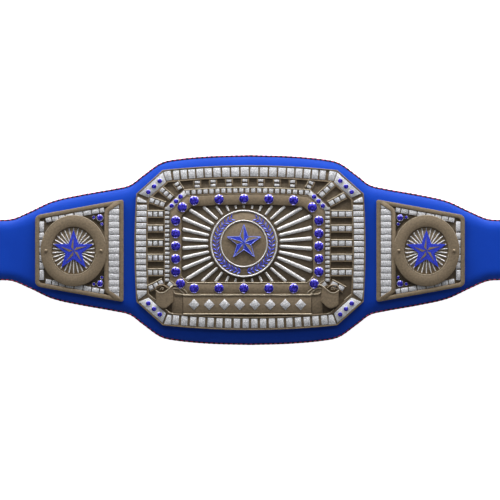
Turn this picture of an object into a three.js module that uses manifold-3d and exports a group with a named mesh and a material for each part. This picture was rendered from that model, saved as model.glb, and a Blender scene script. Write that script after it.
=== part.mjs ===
// Championship title belt, lying on its back: a padded leather strap, a large cast main
// plate, two cast side plates, set stones and press studs.
// Millimetres. X runs along the belt, Y up it and Z out of the plates. The origin is the
// middle of the strap's flat back.
import * as THREE from 'three';
import { mergeGeometries, mergeVertices } from 'three/addons/utils/BufferGeometryUtils.js';
import Module from 'manifold-3d';

const wasm = await Module();
wasm.setup();

// Clearance between pieces that touch on the real belt
const seat = 0.3;
// How far fused relief reaches into the casting below it
const sink = 0.2;

// Strap
const strapLength = 1300;
const strapThickness = 6;
const strapEdge = 2.4;
const tailHeight = 75;
const tailEndRadius = 30;
const marginAbovePlate = 12.8;
const marginBelowPlate = 18.6;
const bodyRoll = 24;
const tailRoll = 11;

// Main plate, from its outer edge inwards
const plateWidth = 289;
const plateHeight = 206;
const plateCornerRun = 33;
const plateCornerRise = 29.5;
const plateSideBow = 2.4;
const plateTopBow = 5.9;
const outerBand = 15.5;
const leftBand = 21.5;
const rightBand = 28.3;
const topBand = 11.8;
const smallBand = 7.5;
const frameBorder = 14.2;
const frameTopRun = 20.5;
const frameTopRise = 19.5;
const frameBottomChamfer = 16;
const frameTopBow = 3;
const rimWidth = 1.5;
const tileGap = 1.5;
const tileMargin = 0.7;
const rowEndTile = 9.15;
const columnTilePitch = 7.6;
const bottomTileGap = 3.2;
const barWidth = 9;
const barReach = 0.8;

// Heights in a casting, from its back
const castFloor = 2.2;
const castGroove = 3.2;
const castTile = 4.2;
const castRim = 4.5;
const frameThickness = 1.8;

// A height that every cut upwards passes
const aboveAll = 15;

// Banner
const bannerHeight = 25.6;
const bannerGap = 3.6;
const bannerInset = 16.5;
const bannerThickness = 2.6;
const bannerRim = 1.6;
const bannerRecess = 0.96;
const foldWidth = 11;
const foldDrop = 1.28;
const foldLift = 0.5;
const curlWidth = 22.5;
const curlHeight = 25;
const curlRise = 2.2;
const curlRound = 16.9;
const ornamentMargin = 4;
const ornamentWidth = 13.7;
const ornamentHeight = 14;
const ornamentRise = 0.9;

// Medallion and stars
const medallionRadius = 42.2;
const medallionShift = -4.2;
const medallionThickness = 1.8;
const ringWidth = 2.2;
const ringRise = 1.1;
const innerRingRadius = 29.6;
const mainStarRadius = 22.2;
const mainStarThickness = 2.6;
const mainStarLift = 1.5;
const leafLength = 6.2;
const leafWidth = 2.8;
const leafRise = 0.7;
const leafRowOffset = 0.5;

// Sun rays
const mainRayInnerWidth = 2.8;
const mainRayOuterWidth = 4;
const mainRayRise = 1.4;
const rayStartGap = 2.2;
const rayEndGap = 1;

// Stones
const largeStoneRadius = 5.7;
const largeStoneHeight = 3;
const cornerStoneRadius = 3.3;
const innerStoneRadius = 3.1;
const smallStoneHeight = 2;
const cornerStonePitch = 9.9;
const innerStonePitch = 7.9;
const settingThickness = 1;
const columnStonePitch = 15.9;
const rowStonePitch = 31.1;
const stoneEndRoom = 6;

// Side plates
const sidePlateGap = 13.5;
const sidePlateDrop = 0.9;
const sidePlateWidth = 110.6;
const sideMarginInner = 14.2;
const sideMarginOuter = 9;
const sideCornerInner = 4;
const sideCornerOuter = 7;
const sideRim = 5.2;
const sideTile = 5.4;
const columnWidth = 12.5;
const columnPitch = 8.1;
const bracketWidth = 5.6;
const bracketFoot = 2.1;
const bracketSlantInner = 14.7;
const bracketSlantOuter = 13;
const discHalfHeight = 44.5;
const discInsetInner = 21.2;
const discInsetOuter = 6.8;
const discThickness = 3.2;
const discField = 1.2;
const sideRayStart = 7.8;
const sideRayInnerWidth = 1.05;
const sideRayWidth = 1.5;
const sideRayRise = 0.8;
const sideStarGap = 2.85;
const sideStarThickness = 2.2;
const sideScrewRadius = 2.1;
const sideScrewHeight = 1.2;
const trioLargeRadius = 4;
const trioSmallRadius = 2.1;
const trioWidth = 17;
const trioHeight = 19;
const trioThickness = 0.8;

// Press studs
const studRadius = 7.5;
const studHeight = 3.6;
const studPitchX = 40;
const studPitchY = 22;
const studEndDistance = 32;

// Counts and shares
const rowTiles = 18;
const rowTaper = 0.14;
const columnTiles = 14;
const columnTileCount = 13;
const sideBars = 5;
const topBars = 7;
const barEndShare = 0.4;
const steepBarLean = 0.55;
const ornamentCount = 8;
const mainRayCount = 34;
const mainRayStretch = 1.21;
const sideRayCount = 30;
const leafPairs = 13;
const leafBelly = 0.45;
const leafSplay = 0.62;
const laurelGapTop = 0.5;
const laurelGapBottom = 0.1;
const starNotch = 0.4;
const starBrim = 0.35;
const discWindow = 0.67;
const stoneSides = 8;
const studSides = 8;
const screwSides = 10;
const roundSides = 24;
const medallionSides = 28;

// Finishes
const finishes = {
  leather: new THREE.MeshStandardMaterial({ color: '#1f43b4', roughness: 0.45, metalness: 0 }),
  bronze: new THREE.MeshStandardMaterial({ color: '#7d6d57', roughness: 0.5, metalness: 0.9 }),
  silver: new THREE.MeshStandardMaterial({ color: '#b4b4ba', roughness: 0.4, metalness: 0.9 }),
  enamel: new THREE.MeshStandardMaterial({ color: '#3746c8', roughness: 0.3, metalness: 0.3 }),
  stone: new THREE.MeshStandardMaterial({ color: '#2319aa', roughness: 0.05, metalness: 0.1 }),
};

// Solids

// Closed geometry as a solid that can be joined and cut.
function toSolid(geometry) {
  const bare = geometry.clone();
  bare.deleteAttribute('normal');
  bare.deleteAttribute('uv');
  const merged = mergeVertices(bare, 1e-4);
  const index = merged.index.array;
  const triangles = [];
  for (let i = 0; i < index.length; i += 3) {
    const [a, b, c] = [index[i], index[i + 1], index[i + 2]];
    if (a !== b && b !== c && c !== a) triangles.push(a, b, c);
  }
  return new wasm.Manifold(new wasm.Mesh({
    numProp: 3,
    vertProperties: new Float32Array(merged.attributes.position.array),
    triVerts: new Uint32Array(triangles),
  }));
}

function toGeometry(solid) {
  const { vertProperties, triVerts } = solid.getMesh();
  const geometry = new THREE.BufferGeometry();
  geometry.setAttribute('position', new THREE.BufferAttribute(vertProperties, 3));
  geometry.setIndex(new THREE.BufferAttribute(triVerts, 1));
  return geometry;
}

// Pieces that don't touch each other become one solid in one step.
function scattered(geometries) {
  return toSolid(mergeGeometries(geometries.map((geometry) => {
    const plain = geometry.index ? geometry.toNonIndexed() : geometry;
    plain.deleteAttribute('normal');
    plain.deleteAttribute('uv');
    return plain;
  })));
}

function joined(solids) {
  return solids.reduce((whole, piece) => whole.add(piece));
}

// A flat outline, with holes if there are any, raised from one height to another.
function prism(outline, bottom, top, holes = []) {
  const shape = new THREE.Shape(outline.map(([x, y]) => new THREE.Vector2(x, y)));
  for (const hole of holes) {
    shape.holes.push(new THREE.Path(hole.map(([x, y]) => new THREE.Vector2(x, y))));
  }
  const geometry = new THREE.ExtrudeGeometry(shape, { depth: top - bottom, bevelEnabled: false });
  return geometry.translate(0, 0, bottom);
}

// A turned form about Z, from pairs of radius and height.
function turned(profile, sides) {
  const points = profile.map(([radius, height]) => new THREE.Vector2(radius, height));
  return new THREE.LatheGeometry(points, sides).rotateX(Math.PI / 2).rotateZ(Math.PI / sides);
}

// Closed faces over a ring of corners, given as triangles of corner numbers.
function faceted(corners, faces) {
  const geometry = new THREE.BufferGeometry();
  geometry.setAttribute('position', new THREE.Float32BufferAttribute(corners.flat(), 3));
  geometry.setIndex(faces.flat());
  return geometry.toNonIndexed();
}

// Outlines

const sideSteps = 4;

// Points from one corner towards the next, bowed outwards; the last corner is included.
function bowedSide([x0, y0], [x1, y1], bow) {
  const length = Math.hypot(x1 - x0, y1 - y0);
  const outward = [(y1 - y0) / length, (x0 - x1) / length];
  return Array.from({ length: sideSteps + 1 }, (_, i) => {
    const share = i / sideSteps;
    const swell = bow * 4 * share * (1 - share);
    return [
      x0 + (x1 - x0) * share + outward[0] * swell,
      y0 + (y1 - y0) * share + outward[1] * swell,
    ];
  });
}

// An eight-sided outline, anticlockwise from the bottom side's left end. left, right,
// bottom and top are its furthest reaches, and the bows are part of them.
function octagon({ left, right, bottom, top, lower, upper, sideBow, topBow, bottomBow }) {
  const [x0, x1] = [left + sideBow, right - sideBow];
  const [y0, y1] = [bottom + bottomBow, top - topBow];
  return [
    ...bowedSide([x0 + lower.run, y0], [x1 - lower.run, y0], bottomBow),
    ...bowedSide([x1, y0 + lower.rise], [x1, y1 - upper.rise], sideBow),
    ...bowedSide([x1 - upper.run, y1], [x0 + upper.run, y1], topBow),
    ...bowedSide([x0, y1 - upper.rise], [x0, y0 + lower.rise], sideBow),
  ];
}

// An outline moved inwards by a distance, or outwards by a negative one.
function inset(outline, distance) {
  const count = outline.length;
  return outline.map((point, i) => {
    const before = outline[(i + count - 1) % count];
    const after = outline[(i + 1) % count];
    const first = leftNormal(before, point);
    const second = leftNormal(point, after);
    const scale = distance / (1 + first[0] * second[0] + first[1] * second[1]);
    return [
      point[0] + (first[0] + second[0]) * scale,
      point[1] + (first[1] + second[1]) * scale,
    ];
  });
}

function leftNormal([x0, y0], [x1, y1]) {
  const length = Math.hypot(x1 - x0, y1 - y0);
  return [(y0 - y1) / length, (x1 - x0) / length];
}

// The sides of an eight-sided outline: 0 bottom, 1 right, 2 top, 3 left.
const [BOTTOM, RIGHT, TOP, LEFT] = [0, 1, 2, 3];

function sideOf(outline, side) {
  const start = side * (sideSteps + 1);
  return outline.slice(start, start + sideSteps + 1);
}

function bandSide(outer, inner, side) {
  return [...sideOf(outer, side), ...sideOf(inner, side).reverse()];
}

// The piece of a band at the chamfer that follows a side.
function bandCorner(outer, inner, side) {
  const next = (side + 1) % 4;
  return [
    sideOf(outer, side)[sideSteps],
    sideOf(outer, next)[0],
    sideOf(inner, next)[0],
    sideOf(inner, side)[sideSteps],
  ];
}

// The part of an outline between two values of x (axis 0) or y (axis 1).
function slice(outline, axis, from, to) {
  const keepAbove = clip(outline, axis, from, 1);
  return clip(keepAbove, axis, to, -1);
}

function clip(outline, axis, limit, sign) {
  const kept = [];
  outline.forEach((point, i) => {
    const next = outline[(i + 1) % outline.length];
    const here = (point[axis] - limit) * sign;
    const there = (next[axis] - limit) * sign;
    if (here >= 0) kept.push(point);
    if (here * there < 0) {
      const share = here / (here - there);
      kept.push([
        point[0] + (next[0] - point[0]) * share,
        point[1] + (next[1] - point[1]) * share,
      ]);
    }
  });
  return kept;
}

function mix([x0, y0], [x1, y1], share) {
  return [x0 + (x1 - x0) * share, y0 + (y1 - y0) * share];
}

// A sharp-cornered outline with each corner rounded to its own radius.
function rounded(corners, radii, steps = 4) {
  const count = corners.length;
  return corners.flatMap((corner, i) => {
    const before = corners[(i + count - 1) % count];
    const after = corners[(i + 1) % count];
    const start = towards(corner, before, radii[i]);
    const end = towards(corner, after, radii[i]);
    return Array.from({ length: steps + 1 }, (_, step) => {
      const share = step / steps;
      return mix(mix(start, corner, share), mix(corner, end, share), share);
    });
  });
}

function towards([x0, y0], [x1, y1], distance) {
  const length = Math.hypot(x1 - x0, y1 - y0);
  return [x0 + ((x1 - x0) * distance) / length, y0 + ((y1 - y0) * distance) / length];
}

function ellipse(centre, halfWidth, halfHeight, sides) {
  return Array.from({ length: sides }, (_, i) => {
    const angle = (2 * Math.PI * i) / sides;
    return [centre[0] + halfWidth * Math.cos(angle), centre[1] + halfHeight * Math.sin(angle)];
  });
}

// Shared pieces

// Stone profiles as shares of radius and height: culet side, girdle, crown and table.
const stoneProfile = [[0, 0], [0.94, 0], [1, 0.25], [0.62, 1], [0, 1]];

function cutStone(radius, height) {
  return turned(stoneProfile.map(([r, h]) => [r * radius, h * height]), stoneSides);
}

// A ray with a ridge, sunk into the field that it stands on.
function ray(centre, angle, inner, outer, innerWidth, outerWidth, field, rise) {
  const along = [Math.cos(angle), Math.sin(angle)];
  const across = [-along[1], along[0]];
  const place = (reach, side) => [
    centre[0] + along[0] * reach + across[0] * side,
    centre[1] + along[1] * reach + across[1] * side,
  ];
  const corners = [
    [...place(inner, -innerWidth / 2), field - sink],
    [...place(outer, -outerWidth / 2), field - sink],
    [...place(outer, outerWidth / 2), field - sink],
    [...place(inner, innerWidth / 2), field - sink],
    [...place(inner + innerWidth / 3, 0), field + rise],
    [...place(outer - outerWidth / 3, 0), field + rise],
  ];
  const faces = [
    [0, 3, 2], [0, 2, 1], [0, 1, 5], [0, 5, 4], [1, 2, 5], [2, 3, 4], [2, 4, 5], [3, 0, 4],
  ];
  return faceted(corners, faces);
}

// How far a line from a point runs, at an angle, before it meets a convex outline.
function reachTo(outline, [x, y], angle) {
  const [dx, dy] = [Math.cos(angle), Math.sin(angle)];
  const reaches = outline.map(([x0, y0], i) => {
    const [x1, y1] = outline[(i + 1) % outline.length];
    const [ex, ey] = [x1 - x0, y1 - y0];
    const cross = dx * ey - dy * ex;
    if (Math.abs(cross) < 1e-9) return Infinity;
    const along = ((x0 - x) * ey - (y0 - y) * ex) / cross;
    const share = ((x0 - x) * dy - (y0 - y) * dx) / cross;
    return along > 0 && share >= 0 && share <= 1 ? along : Infinity;
  });
  return Math.min(...reaches);
}

// A five-pointed star that rises from low edges to a ridge along each arm.
function star(radius, thickness) {
  const edge = thickness * starBrim;
  const corners = Array.from({ length: 10 }, (_, i) => {
    const reach = i % 2 ? radius * starNotch : radius;
    const angle = Math.PI / 2 + (Math.PI * i) / 5;
    return [reach * Math.cos(angle), reach * Math.sin(angle)];
  });
  const foot = corners.map((corner) => [...corner, 0]);
  const brim = corners.map((corner) => [...corner, edge]);
  const [middle, peak] = [20, 21];
  const faces = corners.flatMap((_, i) => {
    const next = (i + 1) % 10;
    return [
      [middle, next, i], [i, next, next + 10], [i, next + 10, i + 10], [i + 10, next + 10, peak],
    ];
  });
  return faceted([...foot, ...brim, [0, 0, 0], [0, 0, thickness]], faces);
}

// Strap

const bodyHeight = plateHeight + marginAbovePlate + marginBelowPlate;
const plateLift = (marginBelowPlate - marginAbovePlate) / 2;
const sideInnerEdge = plateWidth / 2 + sidePlateGap;
const sideOuterEdge = sideInnerEdge + sidePlateWidth;

// Half of the strap's height along one wing. reach is a share of the distance to the side
// plate's far edge, and fullness runs from 0 at the tail to 1 at the middle.
const strapSections = [
  { reach: 0, fullness: 1 },
  { reach: 0.186, fullness: 0.982 },
  { reach: 0.349, fullness: 0.932 },
  { reach: 0.419, fullness: 0.872 },
  { reach: 0.5, fullness: 0.682 },
  { reach: 0.558, fullness: 0.54 },
  { reach: 0.628, fullness: 0.482 },
  { reach: 0.79, fullness: 0.386 },
  { reach: 0.92, fullness: 0.288 },
  { reach: 1.024, fullness: 0.13 },
  { reach: 1.107, fullness: 0.016 },
  { reach: 1.18, fullness: 0 },
];

const fullnessCurve = new THREE.SplineCurve(
  strapSections.map(({ reach, fullness }) => new THREE.Vector2(reach, fullness)),
);

// Points of one wing's upper edge from the middle to the tail's end, with how full the
// strap is at each.
function wingEdge() {
  const curvePoints = fullnessCurve.getPoints((strapSections.length - 1) * 2);
  const edge = curvePoints.map(({ x, y }) => ({
    x: x * sideOuterEdge,
    y: tailHeight / 2 + (y * (bodyHeight - tailHeight)) / 2,
    fullness: Math.max(y, 0),
  }));
  const endSteps = 4;
  for (let i = 0; i <= endSteps; i += 1) {
    const angle = Math.PI / 2 - (Math.PI / 2) * (i / endSteps);
    edge.push({
      x: strapLength / 2 - tailEndRadius + tailEndRadius * Math.cos(angle),
      y: tailHeight / 2 - tailEndRadius + tailEndRadius * Math.sin(angle),
      fullness: 0,
    });
  }
  return edge;
}

// The strap's half height at a distance from its middle.
function strapHalfHeight(distance) {
  const edge = wingEdge();
  const after = edge.findIndex(({ x }) => x >= distance);
  const [a, b] = [edge[after - 1], edge[after]];
  return a.y + ((b.y - a.y) * (distance - a.x)) / (b.x - a.x);
}

// How the padding rises from the strap's edge: shares of the roll and of the thickness.
const rollSteps = [
  { inwards: 0, rise: 0 },
  { inwards: 0.14, rise: 0.45 },
  { inwards: 0.5, rise: 0.84 },
  { inwards: 1, rise: 1 },
];

function strapOutline() {
  const upper = wingEdge();
  const mirrored = (list, sx, sy) => list.map((p) => ({ ...p, x: p.x * sx, y: p.y * sy }));
  return [
    ...mirrored(upper, 1, 1).reverse(),
    ...mirrored(upper, -1, 1).slice(1),
    ...mirrored(upper, -1, -1).reverse(),
    ...mirrored(upper, 1, -1).slice(1),
  ];
}

// Rings of the strap's edge, one inside the other, closed by a flat back and a flat top.
function strapGeometry() {
  const edge = strapOutline();
  const count = edge.length;
  const outline = edge.map(({ x, y }) => [x, y]);
  const inwards = outline.map((point, i) => {
    const before = outline[(i + count - 1) % count];
    const after = outline[(i + 1) % count];
    return leftNormal(before, after);
  });
  const rings = [outline.map(([x, y]) => [x, y, 0])];
  for (const step of rollSteps) {
    rings.push(outline.map(([x, y], i) => {
      const roll = tailRoll + (bodyRoll - tailRoll) * edge[i].fullness;
      const z = strapEdge + (strapThickness - strapEdge) * step.rise;
      const move = roll * step.inwards;
      return [x + inwards[i][0] * move, y + inwards[i][1] * move, z];
    }));
  }
  const faces = [];
  for (let ring = 0; ring < rings.length - 1; ring += 1) {
    for (let i = 0; i < count; i += 1) {
      const next = (i + 1) % count;
      const [a, b] = [ring * count + i, ring * count + next];
      faces.push([a, b, b + count], [a, b + count, a + count]);
    }
  }
  const cap = (ring, flip) => {
    const flat = rings[ring].map(([x, y]) => new THREE.Vector2(x, y));
    for (const [a, b, c] of THREE.ShapeUtils.triangulateShape(flat, [])) {
      const face = [a, b, c].map((corner) => corner + ring * count);
      faces.push(flip ? face.reverse() : face);
    }
  };
  cap(0, true);
  cap(rings.length - 1, false);
  return faceted(rings.flat(), faces);
}

// Outlines of the main plate's bands

const plateHalf = { x: plateWidth / 2, y: plateHeight / 2 };
const plateCorner = { run: plateCornerRun, rise: plateCornerRise };
const plateEdge = octagon({
  left: -plateHalf.x,
  right: plateHalf.x,
  bottom: -plateHalf.y,
  top: plateHalf.y,
  lower: plateCorner,
  upper: plateCorner,
  sideBow: plateSideBow,
  topBow: plateTopBow,
  bottomBow: plateTopBow,
});
const bannerTop = -plateHalf.y + outerBand + bannerGap + bannerHeight;
const frameLeft = -plateHalf.x + outerBand + leftBand + smallBand;
const frameRight = plateHalf.x - outerBand - rightBand - smallBand;
const frameEdge = octagon({
  left: frameLeft,
  right: frameRight,
  bottom: bannerTop + seat,
  top: plateHalf.y - outerBand - topBand - smallBand,
  lower: { run: frameBottomChamfer, rise: frameBottomChamfer },
  upper: { run: frameTopRun, rise: frameTopRise },
  sideBow: 0,
  topBow: frameTopBow,
  bottomBow: 0,
});
const sunkEdge = inset(plateEdge, outerBand);
const smallEdge = inset(frameEdge, -smallBand);
const windowEdge = inset(frameEdge, frameBorder);

const frameMiddleX = (frameLeft + frameRight) / 2;
const bannerLength = frameRight - frameLeft - 2 * bannerInset;
const windowMiddle = windowMiddlePoint();
const medallionCentre = [windowMiddle[0] + medallionShift, windowMiddle[1]];

function windowMiddlePoint() {
  const ys = windowEdge.map(([, y]) => y);
  return [frameMiddleX, (Math.min(...ys) + Math.max(...ys)) / 2];
}

// Tiles

// Ranges of equal tiles between two limits, with a gap between neighbours.
function evenRanges(from, to, count, gap = tileGap) {
  const pitch = (to - from) / count;
  return Array.from({ length: count }, (_, i) => [
    from + i * pitch + gap / 2,
    from + (i + 1) * pitch - gap / 2,
  ]);
}

// Ranges on both sides of a middle that grow narrower towards the ends.
function taperedRanges(half, count, shrink) {
  const loss = shrink / count;
  const pitch = half / (count - loss * count * count);
  const edgeAt = (k) => pitch * (k - loss * k * k);
  const ranges = [];
  for (let k = 0; k < count; k += 1) {
    ranges.push([edgeAt(k) + tileGap / 2, edgeAt(k + 1) - tileGap / 2]);
    ranges.push([-edgeAt(k + 1) + tileGap / 2, -edgeAt(k) - tileGap / 2]);
  }
  return ranges;
}

function tiles(band, axis, ranges) {
  return ranges.map(([from, to]) => slice(band, axis, from, to))
    .map((tile) => prism(tile, castGroove - sink, castTile));
}

const outerTileLine = inset(plateEdge, rimWidth + tileMargin);
const innerTileLine = inset(plateEdge, outerBand - rimWidth / 2 - tileMargin);

// The ring of tiles around the plate; the corners between its sides stay free.
function outerTiles() {
  const top = sideOf(plateEdge, TOP);
  const rowHalf = (top[0][0] - top[sideSteps][0]) / 2 - tileGap - rowEndTile;
  const columnHalf = (columnTiles * columnTilePitch) / 2;
  const far = plateHalf.x;
  const rowRanges = taperedRanges(rowHalf, rowTiles / 2, rowTaper);
  const rowEnds = [[rowHalf + tileGap / 2, far], [-far, -rowHalf - tileGap / 2]];
  const bottomRanges = evenRanges(-rowHalf, rowHalf, rowTiles, bottomTileGap);
  const columnRanges = evenRanges(-columnHalf, columnHalf, columnTiles);
  const columnEnds = [[columnHalf + tileGap / 2, far], [-far, -columnHalf - tileGap / 2]];
  const band = (side) => bandSide(outerTileLine, innerTileLine, side);
  return [
    ...tiles(band(TOP), 0, [...rowRanges, ...rowEnds]),
    ...tiles(band(BOTTOM), 0, [...bottomRanges, ...rowEnds]),
    ...tiles(band(LEFT), 1, [...columnRanges, ...columnEnds]),
    ...tiles(band(RIGHT), 1, [...columnRanges, ...columnEnds]),
  ];
}

// The raised strip around the stone frame, on its top and both sides.
function smallStrips() {
  const outer = inset(smallEdge, tileMargin);
  const inner = inset(smallEdge, smallBand - tileMargin);
  return [TOP, LEFT, RIGHT].map((side) => (
    prism(bandSide(outer, inner, side), castGroove - sink, castTile)));
}

// Bars in the sunk band

// A raised block between two points.
function bar(start, end) {
  const across = leftNormal(start, end);
  const move = ([x, y], side) => [
    x + (across[0] * barWidth * side) / 2,
    y + (across[1] * barWidth * side) / 2,
  ];
  const outline = [move(start, -1), move(end, -1), move(end, 1), move(start, 1)];
  return prism(outline, castFloor - sink, castTile);
}

// Level bars beside the frame, upright bars above it, and slanted ones at the corners.
function sunkBars() {
  const bars = [];
  const [low, high] = [sideOf(smallEdge, LEFT)[sideSteps][1], sideOf(smallEdge, LEFT)[0][1]];
  const pitch = (high - low) / (sideBars + barEndShare);
  for (let i = 0; i < sideBars; i += 1) {
    const y = (low + high) / 2 + (i - (sideBars - 1) / 2) * pitch;
    for (const side of [-1, 1]) {
      const outer = side * reachTo(sunkEdge, [0, y], side < 0 ? Math.PI : 0);
      const inner = side * reachTo(smallEdge, [0, y], side < 0 ? Math.PI : 0);
      bars.push(bar([outer - side * barReach, y], [inner + side * barReach, y]));
    }
  }
  const [right, left] = [sideOf(smallEdge, TOP)[0][0], sideOf(smallEdge, TOP)[sideSteps][0]];
  for (let i = 1; i <= topBars; i += 1) {
    const x = left + ((right - left) * i) / (topBars + 1);
    const outer = reachTo(sunkEdge, [x, 0], Math.PI / 2);
    const inner = reachTo(smallEdge, [x, 0], Math.PI / 2);
    bars.push(bar([x, outer - barReach], [x, inner + barReach]));
  }
  return [...bars, ...cornerBarsInBand()];
}

// Slanted bars from the outer band's chamfers to the small band's chamfers. outer and inner
// are shares along each chamfer, from the side column towards the row.
const slantedBars = [
  { outer: 0.05, inner: 0.1 },
  { outer: 0.58, inner: 0.55 },
];

function cornerBarsInBand() {
  const bars = [];
  const chamfers = [
    { outer: chamfer(sunkEdge, RIGHT), inner: chamfer(smallEdge, RIGHT), side: 1 },
    { outer: chamfer(sunkEdge, TOP).reverse(), inner: chamfer(smallEdge, TOP).reverse(), side: -1 },
  ];
  for (const { outer, inner, side } of chamfers) {
    for (const row of slantedBars) {
      bars.push(bar(mix(...outer, row.outer), mix(...inner, row.inner)));
    }
    const foot = inner[1];
    const height = outer[1][1] - foot[1] - barReach;
    bars.push(bar(
      [foot[0] + side * height * steepBarLean, foot[1] + height],
      [foot[0], foot[1] + barReach],
    ));
  }
  for (const side of [-1, 1]) {
    const low = side < 0 ? sideOf(smallEdge, LEFT)[sideSteps] : sideOf(smallEdge, RIGHT)[0];
    const outer = side * reachTo(sunkEdge, [0, low[1]], side < 0 ? Math.PI : 0);
    bars.push(bar([outer - side * barReach, low[1] - barWidth], [low[0], low[1]]));
  }
  return bars;
}

// The two ends of the chamfer that follows a side.
function chamfer(outline, side) {
  return [sideOf(outline, side)[sideSteps], sideOf(outline, (side + 1) % 4)[0]];
}

// Banner

const bannerMiddle = [frameMiddleX, bannerTop - bannerHeight / 2];

// Bends of a rolled end, from the fold's inner edge. across is 1 at the fold's outer edge and
// 2 at the roll's far edge; up is a share of the roll's height, from the panel's top edge.
const curlLip = [
  [{ across: 0.3, up: 0.34 }, { across: 0.7, up: 0.4 }, { across: 1.09, up: 0.26 }],
  [{ across: 1.27, up: 0.06 }, { across: 1.64, up: -0.1 }, { across: 1.98, up: 0.2 }],
];
const curlCorner = { across: 2, up: -0.56 };
const curlBase = [
  [{ across: 1.96, up: -0.86 }, { across: 1.22, up: -0.94 }, { across: 1.04, up: -0.62 }],
];
const curlSteps = 5;

// One rolled end, seen from the front. x runs outwards from the fold's inner edge, and the
// fold reaches a little into the panel.
function curlOutline() {
  const top = bannerHeight / 2;
  const place = ({ across, up }) => [
    across < 1 ? across * foldWidth : foldWidth + (across - 1) * curlWidth,
    top + up * curlHeight,
  ];
  const shape = new THREE.Shape();
  shape.moveTo(-sink, top - sink);
  for (const bends of curlLip) shape.bezierCurveTo(...bends.flatMap(place));
  shape.lineTo(...place(curlCorner));
  for (const bends of curlBase) shape.bezierCurveTo(...bends.flatMap(place));
  shape.lineTo(foldWidth, foldLift - top);
  shape.lineTo(-sink, foldLift - top);
  return shape.getPoints(curlSteps).map(({ x, y }) => [x, y]);
}

function curlPlaced(side) {
  const outline = curlOutline().map(([x, y]) => [
    bannerMiddle[0] + side * (bannerLength / 2 + x),
    bannerMiddle[1] + y,
  ]);
  return side > 0 ? outline.reverse() : outline;
}

const panelHalf = { x: bannerLength / 2 + sink, y: bannerHeight / 2 };
const bannerPanel = [[-1, -1], [1, -1], [1, 1], [-1, 1]].map(([x, y]) => [
  bannerMiddle[0] + x * panelHalf.x,
  bannerMiddle[1] + y * panelHalf.y,
]);

// The room that the banner takes in its neighbours, with its clearance all round.
function bannerRoom() {
  const room = (outline) => toSolid(prism(inset(outline, -seat), castFloor, aboveAll));
  const ordered = (outline) => (THREE.ShapeUtils.area(outline.map(([x, y]) => ({ x, y }))) > 0
    ? outline : [...outline].reverse());
  return joined([bannerPanel, curlPlaced(-1), curlPlaced(1)].map(ordered).map(room));
}

// The sunk panel with its rims, a lower fold at each end and a rolled end that bulges.
function bannerSolid() {
  const high = bannerThickness;
  const halfLength = bannerLength / 2;
  const [bottom, top] = [-1, 1].map((side) => bannerMiddle[1] + (side * bannerHeight) / 2);
  const strip = (y0, y1, z) => toSolid(prism([[-1, y0], [1, y0], [1, y1], [-1, y1]].map(
    ([side, y]) => [bannerMiddle[0] + side * halfLength, y],
  ), 0, z));
  const panel = strip(bottom, top, high - bannerRecess);
  const rims = [strip(bottom, bottom + bannerRim, high), strip(top - bannerRim, top, high)];
  const ends = [-1, 1].map((side) => {
    const outline = curlPlaced(side);
    const whole = toSolid(prism(outline, 0, high + curlRise));
    const roll = new THREE.CylinderGeometry(curlRound, curlRound, bannerHeight + 2 * curlHeight, roundSides);
    const middle = bannerMiddle[0] + side * (halfLength + foldWidth + curlWidth / 2);
    const lift = high + curlRise - curlRound;
    const bulge = toSolid(roll.translate(middle, bannerMiddle[1], lift));
    const fold = toSolid(prism(outline, 0, high - foldDrop));
    return whole.intersect(bulge).add(fold);
  });
  return joined([panel, ...rims, ...ends, ...ornaments().map(toSolid)]);
}

// A plain row of lozenges along the panel.
function ornaments() {
  const pitch = (bannerLength - 2 * ornamentMargin) / ornamentCount;
  const floor = bannerThickness - bannerRecess;
  return Array.from({ length: ornamentCount }, (_, i) => {
    const x = bannerMiddle[0] + (i - (ornamentCount - 1) / 2) * pitch;
    const half = [ornamentWidth / 2, ornamentHeight / 2];
    const corners = [
      [x + half[0], bannerMiddle[1], floor - sink],
      [x, bannerMiddle[1] + half[1], floor - sink],
      [x - half[0], bannerMiddle[1], floor - sink],
      [x, bannerMiddle[1] - half[1], floor - sink],
      [x, bannerMiddle[1], floor + ornamentRise],
    ];
    return faceted(corners, [[0, 2, 1], [0, 3, 2], [0, 1, 4], [1, 2, 4], [2, 3, 4], [3, 0, 4]]);
  });
}

// Main plate

// A raised rim between two nested outlines.
function rim(outer, inner, bottom, top) {
  return toSolid(prism(outer, bottom, top, [inner]));
}

function mainRays() {
  const start = medallionRadius + rayStartGap;
  return Array.from({ length: mainRayCount }, (_, i) => {
    const even = (2 * Math.PI * i) / mainRayCount;
    const turn = Math.atan2(mainRayStretch * Math.sin(even), Math.cos(even));
    const angle = Math.PI / 2 - turn;
    const end = reachTo(inset(windowEdge, rayEndGap), medallionCentre, angle);
    return ray(medallionCentre, angle, start, end, mainRayInnerWidth, mainRayOuterWidth,
      castFloor, mainRayRise);
  });
}

function mainPlateSolid() {
  const base = toSolid(prism(plateEdge, 0, castFloor));
  const bands = [
    rim(plateEdge, sunkEdge, castFloor - sink, castGroove),
    rim(smallEdge, inset(frameEdge, -seat), castFloor - sink, castGroove),
  ];
  const rims = [
    rim(plateEdge, inset(plateEdge, rimWidth), castGroove - sink, castRim),
    rim(inset(sunkEdge, -rimWidth / 2), inset(sunkEdge, rimWidth / 2), castFloor - sink, castRim),
  ];
  const bars = joined(sunkBars().map(toSolid));
  const relief = joined([...bands, ...rims, bars])
    .add(scattered(outerTiles()))
    .add(scattered(smallStrips()));
  const room = joined([
    bannerRoom(),
    ...cornerBarOutlines().map(({ outline }) => cornerRoom(outline)),
    ...innerSettingOutlines().map(({ outline }) => cornerRoom(outline)),
  ]);
  return base.add(relief.subtract(room)).add(scattered(mainRays()));
}

function cornerRoom(outline) {
  return toSolid(prism(inset(outline, -seat), castGroove, aboveAll));
}

// Stone settings at the corners

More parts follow.
